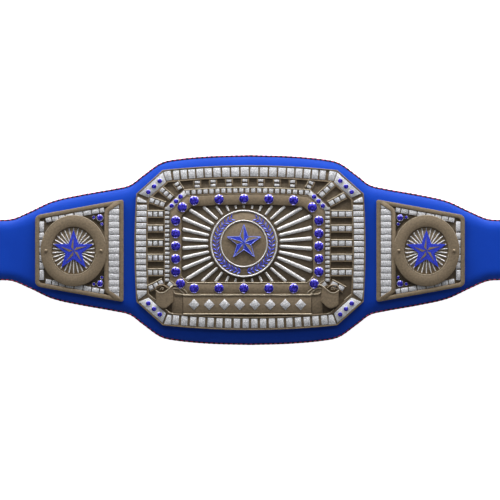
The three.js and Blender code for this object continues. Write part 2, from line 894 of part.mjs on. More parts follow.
function cornerBarOutlines() {
  return [BOTTOM, RIGHT, TOP, LEFT].map((side) => ({
    outline: bandCorner(outerTileLine, innerTileLine, side),
    name: ['corner_bar_lower_right', 'corner_bar_upper_right', 'corner_bar_upper_left',
      'corner_bar_lower_left'][side],
  }));
}

function innerSettingOutlines() {
  const outer = inset(smallEdge, tileMargin);
  const inner = inset(smallEdge, smallBand - tileMargin);
  return [RIGHT, TOP].map((side) => ({
    outline: bandCorner(outer, inner, side),
    name: side === RIGHT ? 'inner_setting_right' : 'inner_setting_left',
  }));
}

// A flat bar with three stones fused to it.
function stoneBar(outline, radius, pitch) {
  const outerMiddle = mix(outline[0], outline[1], 0.5);
  const innerMiddle = mix(outline[3], outline[2], 0.5);
  const middle = mix(outerMiddle, innerMiddle, 0.5);
  const along = leftNormal(innerMiddle, outerMiddle);
  const bottom = castGroove + seat;
  const stones = [-1, 0, 1].map((step) => cutStone(radius, smallStoneHeight).translate(
    middle[0] + along[0] * step * pitch,
    middle[1] + along[1] * step * pitch,
    bottom + settingThickness - sink,
  ));
  const plate = toSolid(prism(outline, bottom, bottom + settingThickness));
  return plate.add(scattered(stones));
}

// Stone frame

// Places along a line, at a pitch about its centre, that keep clear of both its ends.
function stoneSteps(from, to, centre, pitch) {
  const room = Math.min(centre - from, to - centre) - stoneEndRoom;
  const count = 1 + Math.floor((2 * room) / pitch);
  return Array.from({ length: count }, (_, i) => centre + (i - (count - 1) / 2) * pitch);
}

function largeStonePlaces() {
  const middle = inset(frameEdge, frameBorder / 2);
  const column = sideOf(middle, RIGHT).map(([, y]) => y);
  const row = sideOf(middle, TOP).map(([x]) => x);
  const columnMiddle = (column[0] + column[sideSteps]) / 2;
  const places = [];
  stoneSteps(column[0], column[sideSteps], columnMiddle, columnStonePitch).forEach((y, i) => {
    places.push({ name: `stone_left_${i + 1}`, x: frameLeft + frameBorder / 2, y });
    places.push({ name: `stone_right_${i + 1}`, x: frameRight - frameBorder / 2, y });
  });
  stoneSteps(row[sideSteps], row[0], medallionCentre[0], rowStonePitch).forEach((x, i) => {
    places.push({ name: `stone_top_${i + 1}`, x, y: reachTo(middle, [x, 0], Math.PI / 2) });
    places.push({ name: `stone_bottom_${i + 1}`, x, y: -reachTo(middle, [x, 0], -Math.PI / 2) });
  });
  const names = ['stone_corner_lower_right', 'stone_corner_upper_right',
    'stone_corner_upper_left', 'stone_corner_lower_left'];
  names.forEach((name, side) => {
    const [x, y] = mix(...chamfer(middle, side), 0.5);
    places.push({ name, x, y });
  });
  return places;
}

function stoneFrameSolid() {
  return toSolid(prism(frameEdge, 0, frameThickness, [windowEdge]));
}

// Medallion

// A leaf with a ridge, from its foot at a point, leaning from the branch.
function leaf([x, y], angle) {
  const along = [Math.cos(angle), Math.sin(angle)];
  const across = [-along[1], along[0]];
  const place = (reach, side, z) => [
    x + along[0] * reach + across[0] * side,
    y + along[1] * reach + across[1] * side,
    z,
  ];
  const low = medallionThickness - sink;
  const corners = [
    place(0, 0, low),
    place(leafLength * leafBelly, -leafWidth / 2, low),
    place(leafLength, 0, low),
    place(leafLength * leafBelly, leafWidth / 2, low),
    place(leafLength * leafBelly, 0, medallionThickness + leafRise),
  ];
  return faceted(corners, [[0, 2, 1], [0, 3, 2], [0, 1, 4], [1, 2, 4], [2, 3, 4], [3, 0, 4]]);
}

// Two branches of paired leaves that rise from the bottom towards the top.
function laurel() {
  const middle = (medallionRadius - ringWidth + innerRingRadius) / 2;
  const leaves = [];
  for (const side of [-1, 1]) {
    for (let i = 0; i < leafPairs; i += 1) {
      const span = Math.PI - laurelGapTop - laurelGapBottom;
      const turn = -Math.PI / 2 + side * (laurelGapBottom + (span * i) / leafPairs);
      const heading = turn + (side * Math.PI) / 2;
      for (const row of [-1, 1]) {
        const radius = middle + row * leafRowOffset;
        const foot = [radius * Math.cos(turn), radius * Math.sin(turn)];
        leaves.push(leaf(foot, heading - side * row * leafSplay));
      }
    }
  }
  return leaves;
}

function medallionSolid() {
  const circle = (radius) => ellipse([0, 0], radius, radius, medallionSides);
  const disc = toSolid(prism(circle(medallionRadius), 0, medallionThickness));
  const top = medallionThickness + ringRise;
  const ring = (radius) => rim(circle(radius), circle(radius - ringWidth),
    medallionThickness - sink, top);
  return joined([disc, ring(medallionRadius), ring(innerRingRadius), scattered(laurel())]);
}

// Side plates, made for the right side and turned over in X for the left

const discHalfWidth = (sidePlateWidth - discInsetInner - discInsetOuter) / 2;
const discMiddleX = discInsetInner + discHalfWidth;
const sideStarRadius = (discHalfWidth * discWindow - sideStarGap) / Math.cos(Math.PI / 10);

// Corners of the side plate's edge. x starts at the edge nearest the main plate.
function sidePlateCorners() {
  const inner = strapHalfHeight(sideInnerEdge) - sideMarginInner;
  const outer = strapHalfHeight(sideOuterEdge) - sideMarginOuter;
  return [[0, -inner], [sidePlateWidth, -outer], [sidePlateWidth, outer], [0, inner]];
}

function placed(outline, side) {
  return side > 0 ? outline : outline.map(([x, y]) => [-x, y]).reverse();
}

function discOutline(grow = 0, share = 1) {
  const [width, height] = [discHalfWidth * share + grow, discHalfHeight * share + grow];
  return ellipse([discMiddleX, 0], width, height, roundSides);
}

// Lines across the side plate: the wide column, then the bracket beside it.
const columnLeft = sideRim;
const columnRight = columnLeft + columnWidth;
const bracketRight = columnRight + bracketWidth;

// The strips along the side plate's border, and the wide column's tiles.
function sideRelief(field, side) {
  const [lowerLeft, lowerRight, upperRight, upperLeft] = field;
  const inner = inset(field, sideTile);
  const column = slice(field, 0, columnLeft, columnRight);
  const columnHalf = (columnTileCount * columnPitch) / 2;
  const [rowFrom, rowTo] = [bracketRight + tileGap, inner[2][0] - tileGap];
  const outlines = [
    ...evenRanges(-columnHalf, columnHalf, columnTileCount).map((r) => slice(column, 1, ...r)),
    slice([inner[3], inner[2], upperRight, upperLeft], 0, rowFrom, rowTo),
    slice([lowerLeft, lowerRight, inner[1], inner[0]], 0, rowFrom, rowTo),
    [lowerRight, upperRight, inner[2], inner[1]],
  ];
  return outlines.map((outline) => prism(placed(outline, side), castFloor - sink, castTile));
}

function sidePlateSolid(side) {
  const corners = sidePlateCorners();
  const radii = [sideCornerInner, sideCornerOuter, sideCornerOuter, sideCornerInner];
  const edge = placed(rounded(corners, radii), side);
  const field = inset(corners, sideRim);
  const window = placed(field, side);
  const base = toSolid(prism(edge, 0, castFloor));
  const border = rim(edge, window, castFloor - sink, castRim);
  const bracket = toSolid(prism(placed(bracketOutline(field), side), castFloor - sink, castRim));
  const room = toSolid(prism(placed(discOutline(seat), side), castFloor, aboveAll));
  const strips = sideRelief(field, side).map(toSolid);
  return base.add(joined([border, bracket, ...strips]).subtract(room));
}

// The upright bar beside the wide column, with its ends slanted into the corners.
function bracketOutline(field) {
  const top = field[3][1];
  const [inner, outer, foot] = [top - bracketSlantInner, top - bracketSlantOuter, top + bracketFoot];
  return [
    [columnRight, -inner], [0, -foot], [bracketWidth, -foot], [bracketRight, -outer],
    [bracketRight, outer], [bracketWidth, foot], [0, foot], [columnRight, inner],
  ];
}

function sideDiscSolid(side) {
  const outline = placed(discOutline(), side);
  const window = placed(discOutline(0, discWindow), side);
  const body = toSolid(prism(outline, 0, discThickness));
  const hollow = toSolid(prism(window, discField, aboveAll));
  const centre = [side * discMiddleX, 0];
  const rays = Array.from({ length: sideRayCount }, (_, i) => {
    const angle = Math.PI / 2 + (2 * Math.PI * i) / sideRayCount;
    const end = reachTo(window, centre, angle) - rayEndGap;
    return ray(centre, angle, sideRayStart, end, sideRayInnerWidth, sideRayWidth,
      discField, sideRayRise);
  });
  const starRoom = toSolid(prism(starFoot(centre, seat), discField, aboveAll));
  return body.subtract(hollow).add(joined(rays.map(toSolid)).subtract(starRoom));
}

// The star's foot on a disc, grown by a clearance.
function starFoot([x, y], grow) {
  const corners = Array.from({ length: 10 }, (_, i) => {
    const reach = i % 2 ? sideStarRadius * starNotch : sideStarRadius;
    const angle = Math.PI / 2 + (Math.PI * i) / 5;
    return [x + reach * Math.cos(angle), y + reach * Math.sin(angle)];
  });
  return inset(corners, -grow);
}

// Stones of a trio: places as shares of the setting's width and height, from its upper corner.
const trioStones = [
  { radius: trioLargeRadius, across: 0.31, down: 0.34 },
  { radius: trioSmallRadius, across: 0.18, down: 0.72 },
  { radius: trioSmallRadius, across: 0.68, down: 0.26 },
];

// A large stone and two small ones on a three-cornered setting beside the disc.
function stoneTrio(side, upper) {
  const field = inset(sidePlateCorners(), sideRim + sideTile + seat);
  const edgeAt = (x) => reachTo(field, [x, 0], Math.PI / 2);
  const near = bracketRight + seat;
  const far = near + trioWidth;
  const top = edgeAt(near);
  const outline = [[near, top], [near, top - trioHeight], [far, edgeAt(far)]];
  const place = ([x, y]) => [side * x, upper * y];
  const bottom = castFloor + seat;
  const discRoom = toSolid(prism(placed(discOutline(seat), side), 0, aboveAll));
  const plate = toSolid(prism(outline.map(place), bottom, bottom + trioThickness));
  const stones = trioStones.map(({ radius, across, down }) => {
    const [x, y] = place([near + across * trioWidth, top - down * trioHeight]);
    return cutStone(radius, smallStoneHeight).translate(x, y, bottom + trioThickness - sink);
  });
  return plate.subtract(discRoom).add(scattered(stones));
}

// Small hardware

function screwHead() {
  const profile = [[0, 0], [1, 0], [1, 0.5], [0, 1]];
  return turned(profile.map(([r, h]) => [r * sideScrewRadius, h * sideScrewHeight]), screwSides);
}

function pressStud() {
  const profile = [[0, 0], [1, 0], [0.9, 0.3], [0.45, 0.36], [0.5, 1], [0, 1]];
  return turned(profile.map(([r, h]) => [r * studRadius, h * studHeight]), studSides);
}

// The belt

const belt = new THREE.Group();

function addMesh(parent, name, geometry, finish, [x, y, z] = [0, 0, 0]) {
  const mesh = new THREE.Mesh(geometry, finish);
  mesh.name = name;
  mesh.position.set(x, y, z);
  parent.add(mesh);
}

addMesh(belt, 'strap', toGeometry(toSolid(strapGeometry())), finishes.leather);

const mainPlate = new THREE.Group();
mainPlate.position.set(0, plateLift, strapThickness + seat);
belt.add(mainPlate);
const onFloor = castFloor + seat;
const room = bannerRoom();

addMesh(mainPlate, 'main_plate', toGeometry(mainPlateSolid()), finishes.bronze);
addMesh(mainPlate, 'stone_frame',
  toGeometry(stoneFrameSolid().translate([0, 0, onFloor]).subtract(room)), finishes.bronze);
addMesh(mainPlate, 'medallion', toGeometry(medallionSolid()), finishes.bronze,
  [...medallionCentre, onFloor]);
addMesh(mainPlate, 'main_star', toGeometry(toSolid(star(mainStarRadius, mainStarThickness))),
  finishes.enamel, [
    medallionCentre[0],
    medallionCentre[1] + mainStarLift,
    onFloor + medallionThickness + seat,
  ]);
addMesh(mainPlate, 'banner', toGeometry(bannerSolid()), finishes.bronze, [0, 0, onFloor]);
for (const { outline, name } of cornerBarOutlines()) {
  const setting = stoneBar(outline, cornerStoneRadius, cornerStonePitch).subtract(room);
  addMesh(mainPlate, name, toGeometry(setting), finishes.silver);
}
for (const { outline, name } of innerSettingOutlines()) {
  const setting = stoneBar(outline, innerStoneRadius, innerStonePitch);
  addMesh(mainPlate, name, toGeometry(setting), finishes.silver);
}
const stoneZ = onFloor + frameThickness + seat;
const largeStone = toGeometry(toSolid(cutStone(largeStoneRadius, largeStoneHeight)));
for (const { name, x, y } of largeStonePlaces()) {
  addMesh(mainPlate, name, largeStone, finishes.stone, [x, y, stoneZ]);
}

for (const side of [-1, 1]) {
  const word = side < 0 ? 'left' : 'right';
  const sidePlate = new THREE.Group();
  sidePlate.position.set(side * sideInnerEdge, -sidePlateDrop, strapThickness + seat);
  belt.add(sidePlate);
  const discX = side * discMiddleX;
  addMesh(sidePlate, `side_plate_${word}`, toGeometry(sidePlateSolid(side)), finishes.bronze);
  addMesh(sidePlate, `side_disc_${word}`, toGeometry(sideDiscSolid(side)), finishes.bronze,
    [0, 0, onFloor]);
  addMesh(sidePlate, `side_star_${word}`,
    toGeometry(toSolid(star(sideStarRadius, sideStarThickness))), finishes.enamel,
    [discX, 0, onFloor + discField + seat]);
  for (const end of [-1, 1]) {
    const x = discX + end * discHalfWidth * (1 + discWindow) / 2;
    const name = `side_screw_${word}_${end < 0 ? 'a' : 'b'}`;
    addMesh(sidePlate, name, toGeometry(toSolid(screwHead())), finishes.bronze,
      [x, 0, onFloor + discThickness + seat]);
  }
  for (const upper of [-1, 1]) {
    const name = `stone_trio_${word}_${upper < 0 ? 'lower' : 'upper'}`;
    addMesh(sidePlate, name, toGeometry(stoneTrio(side, upper)), finishes.stone);
  }
  for (const column of [0, 1]) {
    for (const row of [-1, 1]) {
      const x = side * (strapLength / 2 - studEndDistance - column * studPitchX);
      const name = `press_stud_${word}_${column + 1}${row < 0 ? 'a' : 'b'}`;
      addMesh(belt, name, toGeometry(toSolid(pressStud())), finishes.silver,
        [x, (row * studPitchY) / 2, strapThickness + seat]);
    }
  }
}

export default belt;
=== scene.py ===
# %% [markdown]
# # A championship title belt
# A padded blue leather strap carries three bronze castings set with silver tiles, enamel and
# cut glass. The solid model gives every size and place. This lesson dresses it, piece by piece,
# in millimetres that are turned into metres at the last moment.

# %% Load the solid model
import math

import bmesh
import bpy
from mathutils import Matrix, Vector


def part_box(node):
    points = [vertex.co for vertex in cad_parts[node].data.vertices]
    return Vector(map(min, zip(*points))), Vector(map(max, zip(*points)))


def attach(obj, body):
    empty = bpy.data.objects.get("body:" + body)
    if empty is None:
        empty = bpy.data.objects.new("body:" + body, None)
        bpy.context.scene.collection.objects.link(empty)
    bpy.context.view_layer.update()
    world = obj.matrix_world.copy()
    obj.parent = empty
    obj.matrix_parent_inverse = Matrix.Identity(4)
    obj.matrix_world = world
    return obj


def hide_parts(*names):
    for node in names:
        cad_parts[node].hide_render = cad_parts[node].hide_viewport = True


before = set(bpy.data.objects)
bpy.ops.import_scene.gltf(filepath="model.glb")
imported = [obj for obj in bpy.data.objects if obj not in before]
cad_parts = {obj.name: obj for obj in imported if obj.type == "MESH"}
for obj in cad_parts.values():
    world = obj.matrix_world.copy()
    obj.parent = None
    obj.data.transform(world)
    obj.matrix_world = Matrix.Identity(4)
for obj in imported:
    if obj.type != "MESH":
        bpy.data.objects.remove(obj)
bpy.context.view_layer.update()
MM = 0.001


def add_object(name, data):
    """A new object in the scene's own collection."""
    thing = bpy.data.objects.new(name, data)
    bpy.context.scene.collection.objects.link(thing)
    return thing


def box_of(node):
    """The two corners of a solid node's box, in millimetres."""
    return [Vector(corner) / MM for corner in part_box(node)]


# %% [markdown]
# ## Camera and light
# The photograph looks straight down on the belt and shows no perspective, so a long lens stands
# far away. The tails run out of the picture on both sides. A strong, low light above the belt's
# upper edge throws the castings' shadows downwards. It is a wide strip, so cut stones mirror it
# as a crescent. A weak strip below the belt lights the stones' lower facets, and a weak sky fills
# the shadows a little.

# %% Camera
view_width = 625 * MM
sensor = 36.0
lens = 200.0
camera_height = view_width * lens / sensor + 10 * MM
camera_data = bpy.data.cameras.new("camera")
camera_data.lens = lens
camera_data.sensor_width = sensor
camera_data.clip_end = 50
camera = add_object("camera", camera_data)
camera.location = (0, 0, camera_height)
bpy.context.scene.camera = camera
print("camera height:", round(camera_height, 3), "m")


# %% Lights
def strip_light(name, turn, height, distance, size, power):
    """A soft rectangle (width, height) that looks at the belt's middle. A turn of 0 is above
    the belt's upper edge and 180 below its lower one; height is the angle over the floor."""
    turn, height = math.radians(turn), math.radians(height)
    data = bpy.data.lights.new(name, "AREA")
    data.shape = "RECTANGLE"
    data.size, data.size_y = size
    data.energy = power
    lamp = add_object(name, data)
    lamp.location = distance * Vector((math.sin(turn) * math.cos(height),
                                       math.cos(turn) * math.cos(height), math.sin(height)))
    lamp.rotation_euler = (-lamp.location).to_track_quat("-Z", "Y").to_euler()


# name: turn and height in degrees, distance and (width, height) in metres, watts
strips = {
    "key": (0, 17, 1.0, (2.4, 0.22), 38),
    "sheen": (0, 50, 3.0, (3.0, 1.0), 16),
    "low fill": (180, 17, 3.0, (2.0, 0.3), 13),
}
for name, row in strips.items():
    strip_light(name, *row)
sky_strength = 0.08
world = bpy.data.worlds.new("studio")
world.use_nodes = True
world.node_tree.nodes["Background"].inputs["Color"].default_value = (0.95, 0.97, 1, 1)
world.node_tree.nodes["Background"].inputs["Strength"].default_value = sky_strength
bpy.context.scene.world = world
bpy.context.scene.view_settings.view_transform = "Standard"

# %% [markdown]
# ## Finishes
# Three effects turn up in several materials, so each is a node group that is built once. *Fine
# grain* is a bumpy noise. *Patina and painted shade* darkens whatever lies deep in a casting:
# partly the black wax that a maker rubs in and wipes off the high places, partly painted shade in
# the hollows. *Sandblast* is the sparkle of silver plate that was blasted with grit. All of them
# read object coordinates, in metres.


# %% Node helpers
def new_group(name, inputs, outputs):
    group = bpy.data.node_groups.new(name, "ShaderNodeTree")
    for title, kind, value in inputs:
        socket = group.interface.new_socket(title, in_out="INPUT", socket_type=kind)
        socket.default_value = value
    for title, kind in outputs:
        group.interface.new_socket(title, in_out="OUTPUT", socket_type=kind)
    return group, group.nodes.new("NodeGroupInput"), group.nodes.new("NodeGroupOutput")


def noise(tree, scale, detail=3.0):
    """Noise on object coordinates; scale is a socket or a number, in waves per metre."""
    place = tree.nodes.new("ShaderNodeTexCoord")
    node = tree.nodes.new("ShaderNodeTexNoise")
    node.inputs["Detail"].default_value = detail
    tree.links.new(place.outputs["Object"], node.inputs["Vector"])
    if isinstance(scale, (int, float)):
        node.inputs["Scale"].default_value = scale
    else:
        tree.links.new(scale, node.inputs["Scale"])
    return node.outputs["Fac"]


def map_range(tree, value, old, new):
    node = tree.nodes.new("ShaderNodeMapRange")
    tree.links.new(value, node.inputs["Value"])
    for title, entry in zip(("From Min", "From Max", "To Min", "To Max"), (*old, *new)):
        if isinstance(entry, (int, float)):
            node.inputs[title].default_value = entry
        else:
            tree.links.new(entry, node.inputs[title])
    return node.outputs["Result"]


def mix_colour(tree, factor, first, second, blend="MIX"):
    node = tree.nodes.new("ShaderNodeMix")
    node.data_type = "RGBA"
    node.blend_type = blend
    for socket, entry in zip((node.inputs[0], node.inputs[6], node.inputs[7]),
                             (factor, first, second)):
        if isinstance(entry, bpy.types.NodeSocket):
            tree.links.new(entry, socket)
        else:
            socket.default_value = entry
    return node.outputs[2]


def bump(tree, height, distance, strength=1.0):
    node = tree.nodes.new("ShaderNodeBump")
    node.inputs["Strength"].default_value = strength
    tree.links.new(height, node.inputs["Height"])
    if isinstance(distance, (int, float)):
        node.inputs["Distance"].default_value = distance
    else:
        tree.links.new(distance, node.inputs["Distance"])
    return node.outputs["Normal"]


# %% Fine grain
FLOAT, COLOUR, VECTOR = "NodeSocketFloat", "NodeSocketColor", "NodeSocketVector"
fine_grain, given, result = new_group(
    "Fine grain",
    [("Scale", FLOAT, 900.0), ("Depth", FLOAT, 0.0001)],
    [("Mask", FLOAT), ("Normal", VECTOR)],
)
grain_height = noise(fine_grain, given.outputs["Scale"], 4.0)
fine_grain.links.new(grain_height, result.inputs["Mask"])
fine_grain.links.new(bump(fine_grain, grain_height, given.outputs["Depth"]),
                     result.inputs["Normal"])

# %% Patina and painted shade
patina_and_shade, given, result = new_group(
    "Patina and painted shade",
    [("Deep", COLOUR, (0, 0, 0, 1)), ("Raised", COLOUR, (1, 1, 1, 1)),
     ("Low", FLOAT, 0.0085), ("High", FLOAT, 0.0105)],
    [("Color", COLOUR), ("Mask", FLOAT)],
)
place = patina_and_shade.nodes.new("ShaderNodeTexCoord")
split = patina_and_shade.nodes.new("ShaderNodeSeparateXYZ")
patina_and_shade.links.new(place.outputs["Object"], split.inputs["Vector"])
# Painted shade: the colour darkens with depth, for shade in the hollows as well as for the wax.
raised_share = map_range(patina_and_shade, split.outputs["Z"],
                  (given.outputs["Low"], given.outputs["High"]), (0.0, 1.0))
cast_colour = mix_colour(patina_and_shade, raised_share, given.outputs["Deep"], given.outputs["Raised"])
mottle = map_range(patina_and_shade, noise(patina_and_shade, 420.0, 5.0), (0.3, 0.7), (0.78, 1.12))
patina_and_shade.links.new(mix_colour(patina_and_shade, 1.0, cast_colour, mottle, "MULTIPLY"),
                 result.inputs["Color"])
patina_and_shade.links.new(raised_share, result.inputs["Mask"])

# %% Sandblast
sandblast, given, result = new_group(
    "Sandblast",
    [("Color", COLOUR, (1, 1, 1, 1)), ("Contrast", FLOAT, 0.3)],
    [("Color", COLOUR), ("Normal", VECTOR), ("Mask", FLOAT)],
)
speckle = noise(sandblast, 1100.0, 2.0)
contrast = sandblast.nodes.new("ShaderNodeMath")
contrast.operation = "SUBTRACT"
contrast.inputs[0].default_value = 1.0
sandblast.links.new(given.outputs["Contrast"], contrast.inputs[1])
shade = map_range(sandblast, speckle, (0.35, 0.65), (contrast.outputs["Value"], 1.0))
sandblast.links.new(mix_colour(sandblast, 1.0, given.outputs["Color"], shade, "MULTIPLY"),
                    result.inputs["Color"])
sandblast.links.new(bump(sandblast, speckle, 0.0004), result.inputs["Normal"])
sandblast.links.new(speckle, result.inputs["Mask"])
print("shared effects:", fine_grain.name, "|", patina_and_shade.name, "|", sandblast.name)


# %% Materials
def new_material(name, metallic, roughness, coat=0.0):
    material = bpy.data.materials.new(name)
    material.use_nodes = True
    shader = material.node_tree.nodes["Principled BSDF"]
    shader.inputs["Metallic"].default_value = metallic
    shader.inputs["Roughness"].default_value = roughness
    shader.inputs["Coat Weight"].default_value = coat
    return material, material.node_tree, shader


def use_group(tree, group, **values):
    node = tree.nodes.new("ShaderNodeGroup")
    node.node_tree = group
    for title, value in values.items():
        node.inputs[title].default_value = value
    return node


def cast_bronze(name, deep, raised, low, high):
    """Antique bronze between two heights, given in millimetres; the low places are darker, as
    antique wax and as painted shade.
    """
    material, tree, shader = new_material(name, 0.35, 0.5)
    depth_darkening = use_group(tree, patina_and_shade, Deep=deep, Raised=raised, Low=low * MM, High=high * MM)
    grain = use_group(tree, fine_grain, Scale=1500.0, Depth=0.00012)
    tree.links.new(depth_darkening.outputs["Color"], shader.inputs["Base Color"])
    tree.links.new(grain.outputs["Normal"], shader.inputs["Normal"])
    tree.links.new(map_range(tree, grain.outputs["Mask"], (0.3, 0.7), (0.42, 0.6)),
                   shader.inputs["Roughness"])
    return material


def blasted_silver(name, colour, contrast):
    material, tree, shader = new_material(name, 0.35, 0.42)
    blasted = use_group(tree, sandblast, Color=colour, Contrast=contrast)
    tree.links.new(blasted.outputs["Color"], shader.inputs["Base Color"])
    tree.links.new(blasted.outputs["Normal"], shader.inputs["Normal"])
    tree.links.new(map_range(tree, blasted.outputs["Mask"], (0.3, 0.7), (0.35, 0.55)),
                   shader.inputs["Roughness"])
    return material


def enamel(name, light, dark):
    material, tree, shader = new_material(name, 0.15, 0.3, 0.25)
    shader.inputs["Coat Roughness"].default_value = 0.08
    clouds = map_range(tree, noise(tree, 700.0), (0.35, 0.65), (0.0, 1.0))
    tree.links.new(mix_colour(tree, clouds, light, dark), shader.inputs["Base Color"])
    ripple = use_group(tree, fine_grain, Scale=500.0, Depth=0.00005)
    tree.links.new(ripple.outputs["Normal"], shader.inputs["Normal"])
    return material


# All three bronzes darken in their hollows: antique wax and painted shade.
bronze = cast_bronze("antique bronze and painted shade", (0.14, 0.106, 0.068, 1), (0.265, 0.204, 0.134, 1), 8.6, 10.4)
# Bright bronze is the own colour of the stone cups and the banner panel's lips; on rods that run
# only along edges facing the key light it is a painted highlight.
bright_bronze = cast_bronze("bright bronze and painted highlight", (0.36, 0.29, 0.2, 1), (0.48, 0.41, 0.3, 1), 9.0, 11.0)
black_bronze = cast_bronze("blackened bronze", (0.035, 0.028, 0.018, 1), (0.07, 0.055, 0.037, 1),
                           8.6, 10.2)
silver = blasted_silver("blasted silver", (0.9, 0.9, 0.93, 1), 0.5)
ray_silver = blasted_silver("ray silver", (0.86, 0.85, 0.85, 1), 0.4)
blue_enamel = enamel("blue enamel", (0.05, 0.085, 0.75, 1), (0.03, 0.04, 0.5, 1))
# The pale enamel is a painted highlight on the laurel; the main star's lines use it too.
pale_enamel = enamel("pale blue enamel", (0.3, 0.38, 1.0, 1), (0.16, 0.2, 0.9, 1))

nickel, nickel_tree, nickel_shader = new_material("nickel plate", 1.0, 0.25)
nickel_shader.inputs["Base Color"].default_value = (0.62, 0.61, 0.58, 1)
scuffs = use_group(nickel_tree, fine_grain, Scale=300.0, Depth=0.00002)
nickel_tree.links.new(scuffs.outputs["Normal"], nickel_shader.inputs["Normal"])
nickel_tree.links.new(map_range(nickel_tree, scuffs.outputs["Mask"], (0.3, 0.7), (0.18, 0.34)),
                      nickel_shader.inputs["Roughness"])

# %% [markdown]
# Cut glass is foiled at the back, so it throws its own blue back out instead of letting the eye
# through. A deep blue base with a hard clear coat does that in every view and in the export.

# %% Cut glass
glass, glass_tree, glass_shader = new_material("cut blue glass", 0.35, 0.12, 1.0)
glass_shader.inputs["Coat Roughness"].default_value = 0.04
# Painted reflections: bright patches of noise in the base colour stand for light thrown back from
# inside the stone.
painted_sparkle = map_range(glass_tree, noise(glass_tree, 600.0, 1.0), (0.4, 0.62), (0.0, 1.0))
glass_tree.links.new(
    mix_colour(glass_tree, painted_sparkle, (0.01, 0.006, 0.2, 1), (0.09, 0.07, 0.85, 1)),
    glass_shader.inputs["Base Color"])

# %% [markdown]
# ## Mesh helpers
# Castings are made from plain closed shells: a *slab* stands on an outline, a *band* lies
# between two nested outlines, and a *rod* follows a line. A narrow bevel on every hard edge
# catches the light, as worn metal does.


# %% Shells
def slab(outline, low, high):
    count = len(outline)
    points = [(x, y, low) for x, y in outline] + [(x, y, high) for x, y in outline]
    sides = [(i, (i + 1) % count, (i + 1) % count + count, i + count) for i in range(count)]
    return points, [tuple(range(count))[::-1], tuple(range(count, 2 * count)), *sides]


def band(outer, inner, low, high):
    count = len(outer)
    points = [(x, y, z) for loop in (outer, inner) for z in (low, high) for x, y in loop]
    faces = []
    for i in range(count):
        j = (i + 1) % count
        a, b, c, d = 0, count, 2 * count, 3 * count
        faces += [(a + i, a + j, b + j, b + i), (d + i, d + j, c + j, c + i),
                  (b + i, b + j, d + j, d + i), (c + i, c + j, a + j, a + i)]
    return points, faces


def rod(path, radius, sides=8, squash=1.0):
    """A round strip along level points (x, y, z)."""
    points, faces = [], []
    for i, (x, y, z) in enumerate(path):
        before, after = path[max(i - 1, 0)], path[min(i + 1, len(path) - 1)]
        dx, dy = after[0] - before[0], after[1] - before[1]
        length = math.hypot(dx, dy) or 1.0
        for k in range(sides):
            turn = 2 * math.pi * k / sides
            out = radius * math.cos(turn)
            points.append((x + dy / length * out, y - dx / length * out,
                           z + radius * squash * math.sin(turn)))
    for i in range(len(path) - 1):
        for k in range(sides):
            a, b = i * sides + k, i * sides + (k + 1) % sides
            faces.append((a, b, b + sides, a + sides)[::-1])
    last = (len(path) - 1) * sides
    return points, [tuple(range(sides)), tuple(range(last, last + sides))[::-1], *faces]


def lathe(profile, sides, centre=(0, 0), stretch=(1, 1)):
    """A closed turned form about Z, from pairs of radius and height that start and end at 0."""
    rings = profile[1:-1]
    points = [(centre[0], centre[1], profile[0][1])]
    for radius, z in rings:
        for k in range(sides):
            turn = 2 * math.pi * k / sides
            points.append((centre[0] + radius * stretch[0] * math.cos(turn),
                           centre[1] + radius * stretch[1] * math.sin(turn), z))
    points.append((centre[0], centre[1], profile[-1][1]))
    faces = []
    for k in range(sides):
        n = (k + 1) % sides
        faces.append((0, 1 + n, 1 + k))
        for ring in range(len(rings) - 1):
            a, b = 1 + ring * sides, 1 + (ring + 1) * sides
            faces.append((a + k, a + n, b + n, b + k))
        top = 1 + (len(rings) - 1) * sides
        faces.append((top + k, top + n, len(points) - 1))
    return points, faces


def ring(centre, radius, width, low, rise, sides=96, stretch=(1, 1)):
    """A round-backed ring; its section is closed below."""
    steps = 6
    section = [(radius - width / 2 + width * (1 - math.cos(math.pi * s / steps)) / 2,
                low + rise * math.sin(math.pi * s / steps)) for s in range(steps + 1)]
    points, faces = [], []
    for k in range(sides):
        turn = 2 * math.pi * k / sides
        points += [(centre[0] + r * stretch[0] * math.cos(turn),
                    centre[1] + r * stretch[1] * math.sin(turn), z) for r, z in section]
    count = len(section)
    for k in range(sides):
        n = (k + 1) % sides
        for s in range(count):
            t = (s + 1) % count
            faces.append((k * count + s, k * count + t, n * count + t, n * count + s)[::-1])
    return points, faces


# %% From shells to a finished piece
def to_mesh(name, shells):
    """One mesh of closed shells, with every face turned outwards."""
    points, faces = [], []
    for shell_points, shell_faces in shells:
        start = len(points)
        points += [Vector(p) * MM for p in shell_points]
        faces += [tuple(i + start for i in face) for face in shell_faces]
    mesh = bpy.data.meshes.new(name)
    mesh.from_pydata(points, [], faces)
    mesh.validate()
    shape = bmesh.new()
    shape.from_mesh(mesh)
    bmesh.ops.recalc_face_normals(shape, faces=shape.faces)
    shape.to_mesh(mesh)
    shape.free()
    return mesh


def settle(piece, material, smooth_angle=35):
    """Applies the modifiers, sets the shading and lets the piece ride on the belt."""
    depsgraph = bpy.context.evaluated_depsgraph_get()
    mesh = bpy.data.meshes.new_from_object(piece.evaluated_get(depsgraph))
    piece.modifiers.clear()
    piece.data = mesh
    mesh.materials.clear()
    mesh.materials.append(material)
    mesh.shade_smooth()
    mesh.set_sharp_from_angle(angle=math.radians(smooth_angle))
    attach(piece, "root")
    print(piece.name, len(mesh.polygons), "faces")
    return piece


def add_bevel(piece, width):
    edges = piece.modifiers.new("worn edges", "BEVEL")
    edges.width = width * MM
    edges.segments = 2
    edges.limit_method = "ANGLE"
    edges.angle_limit = math.radians(35)
    edges.use_clamp_overlap = True


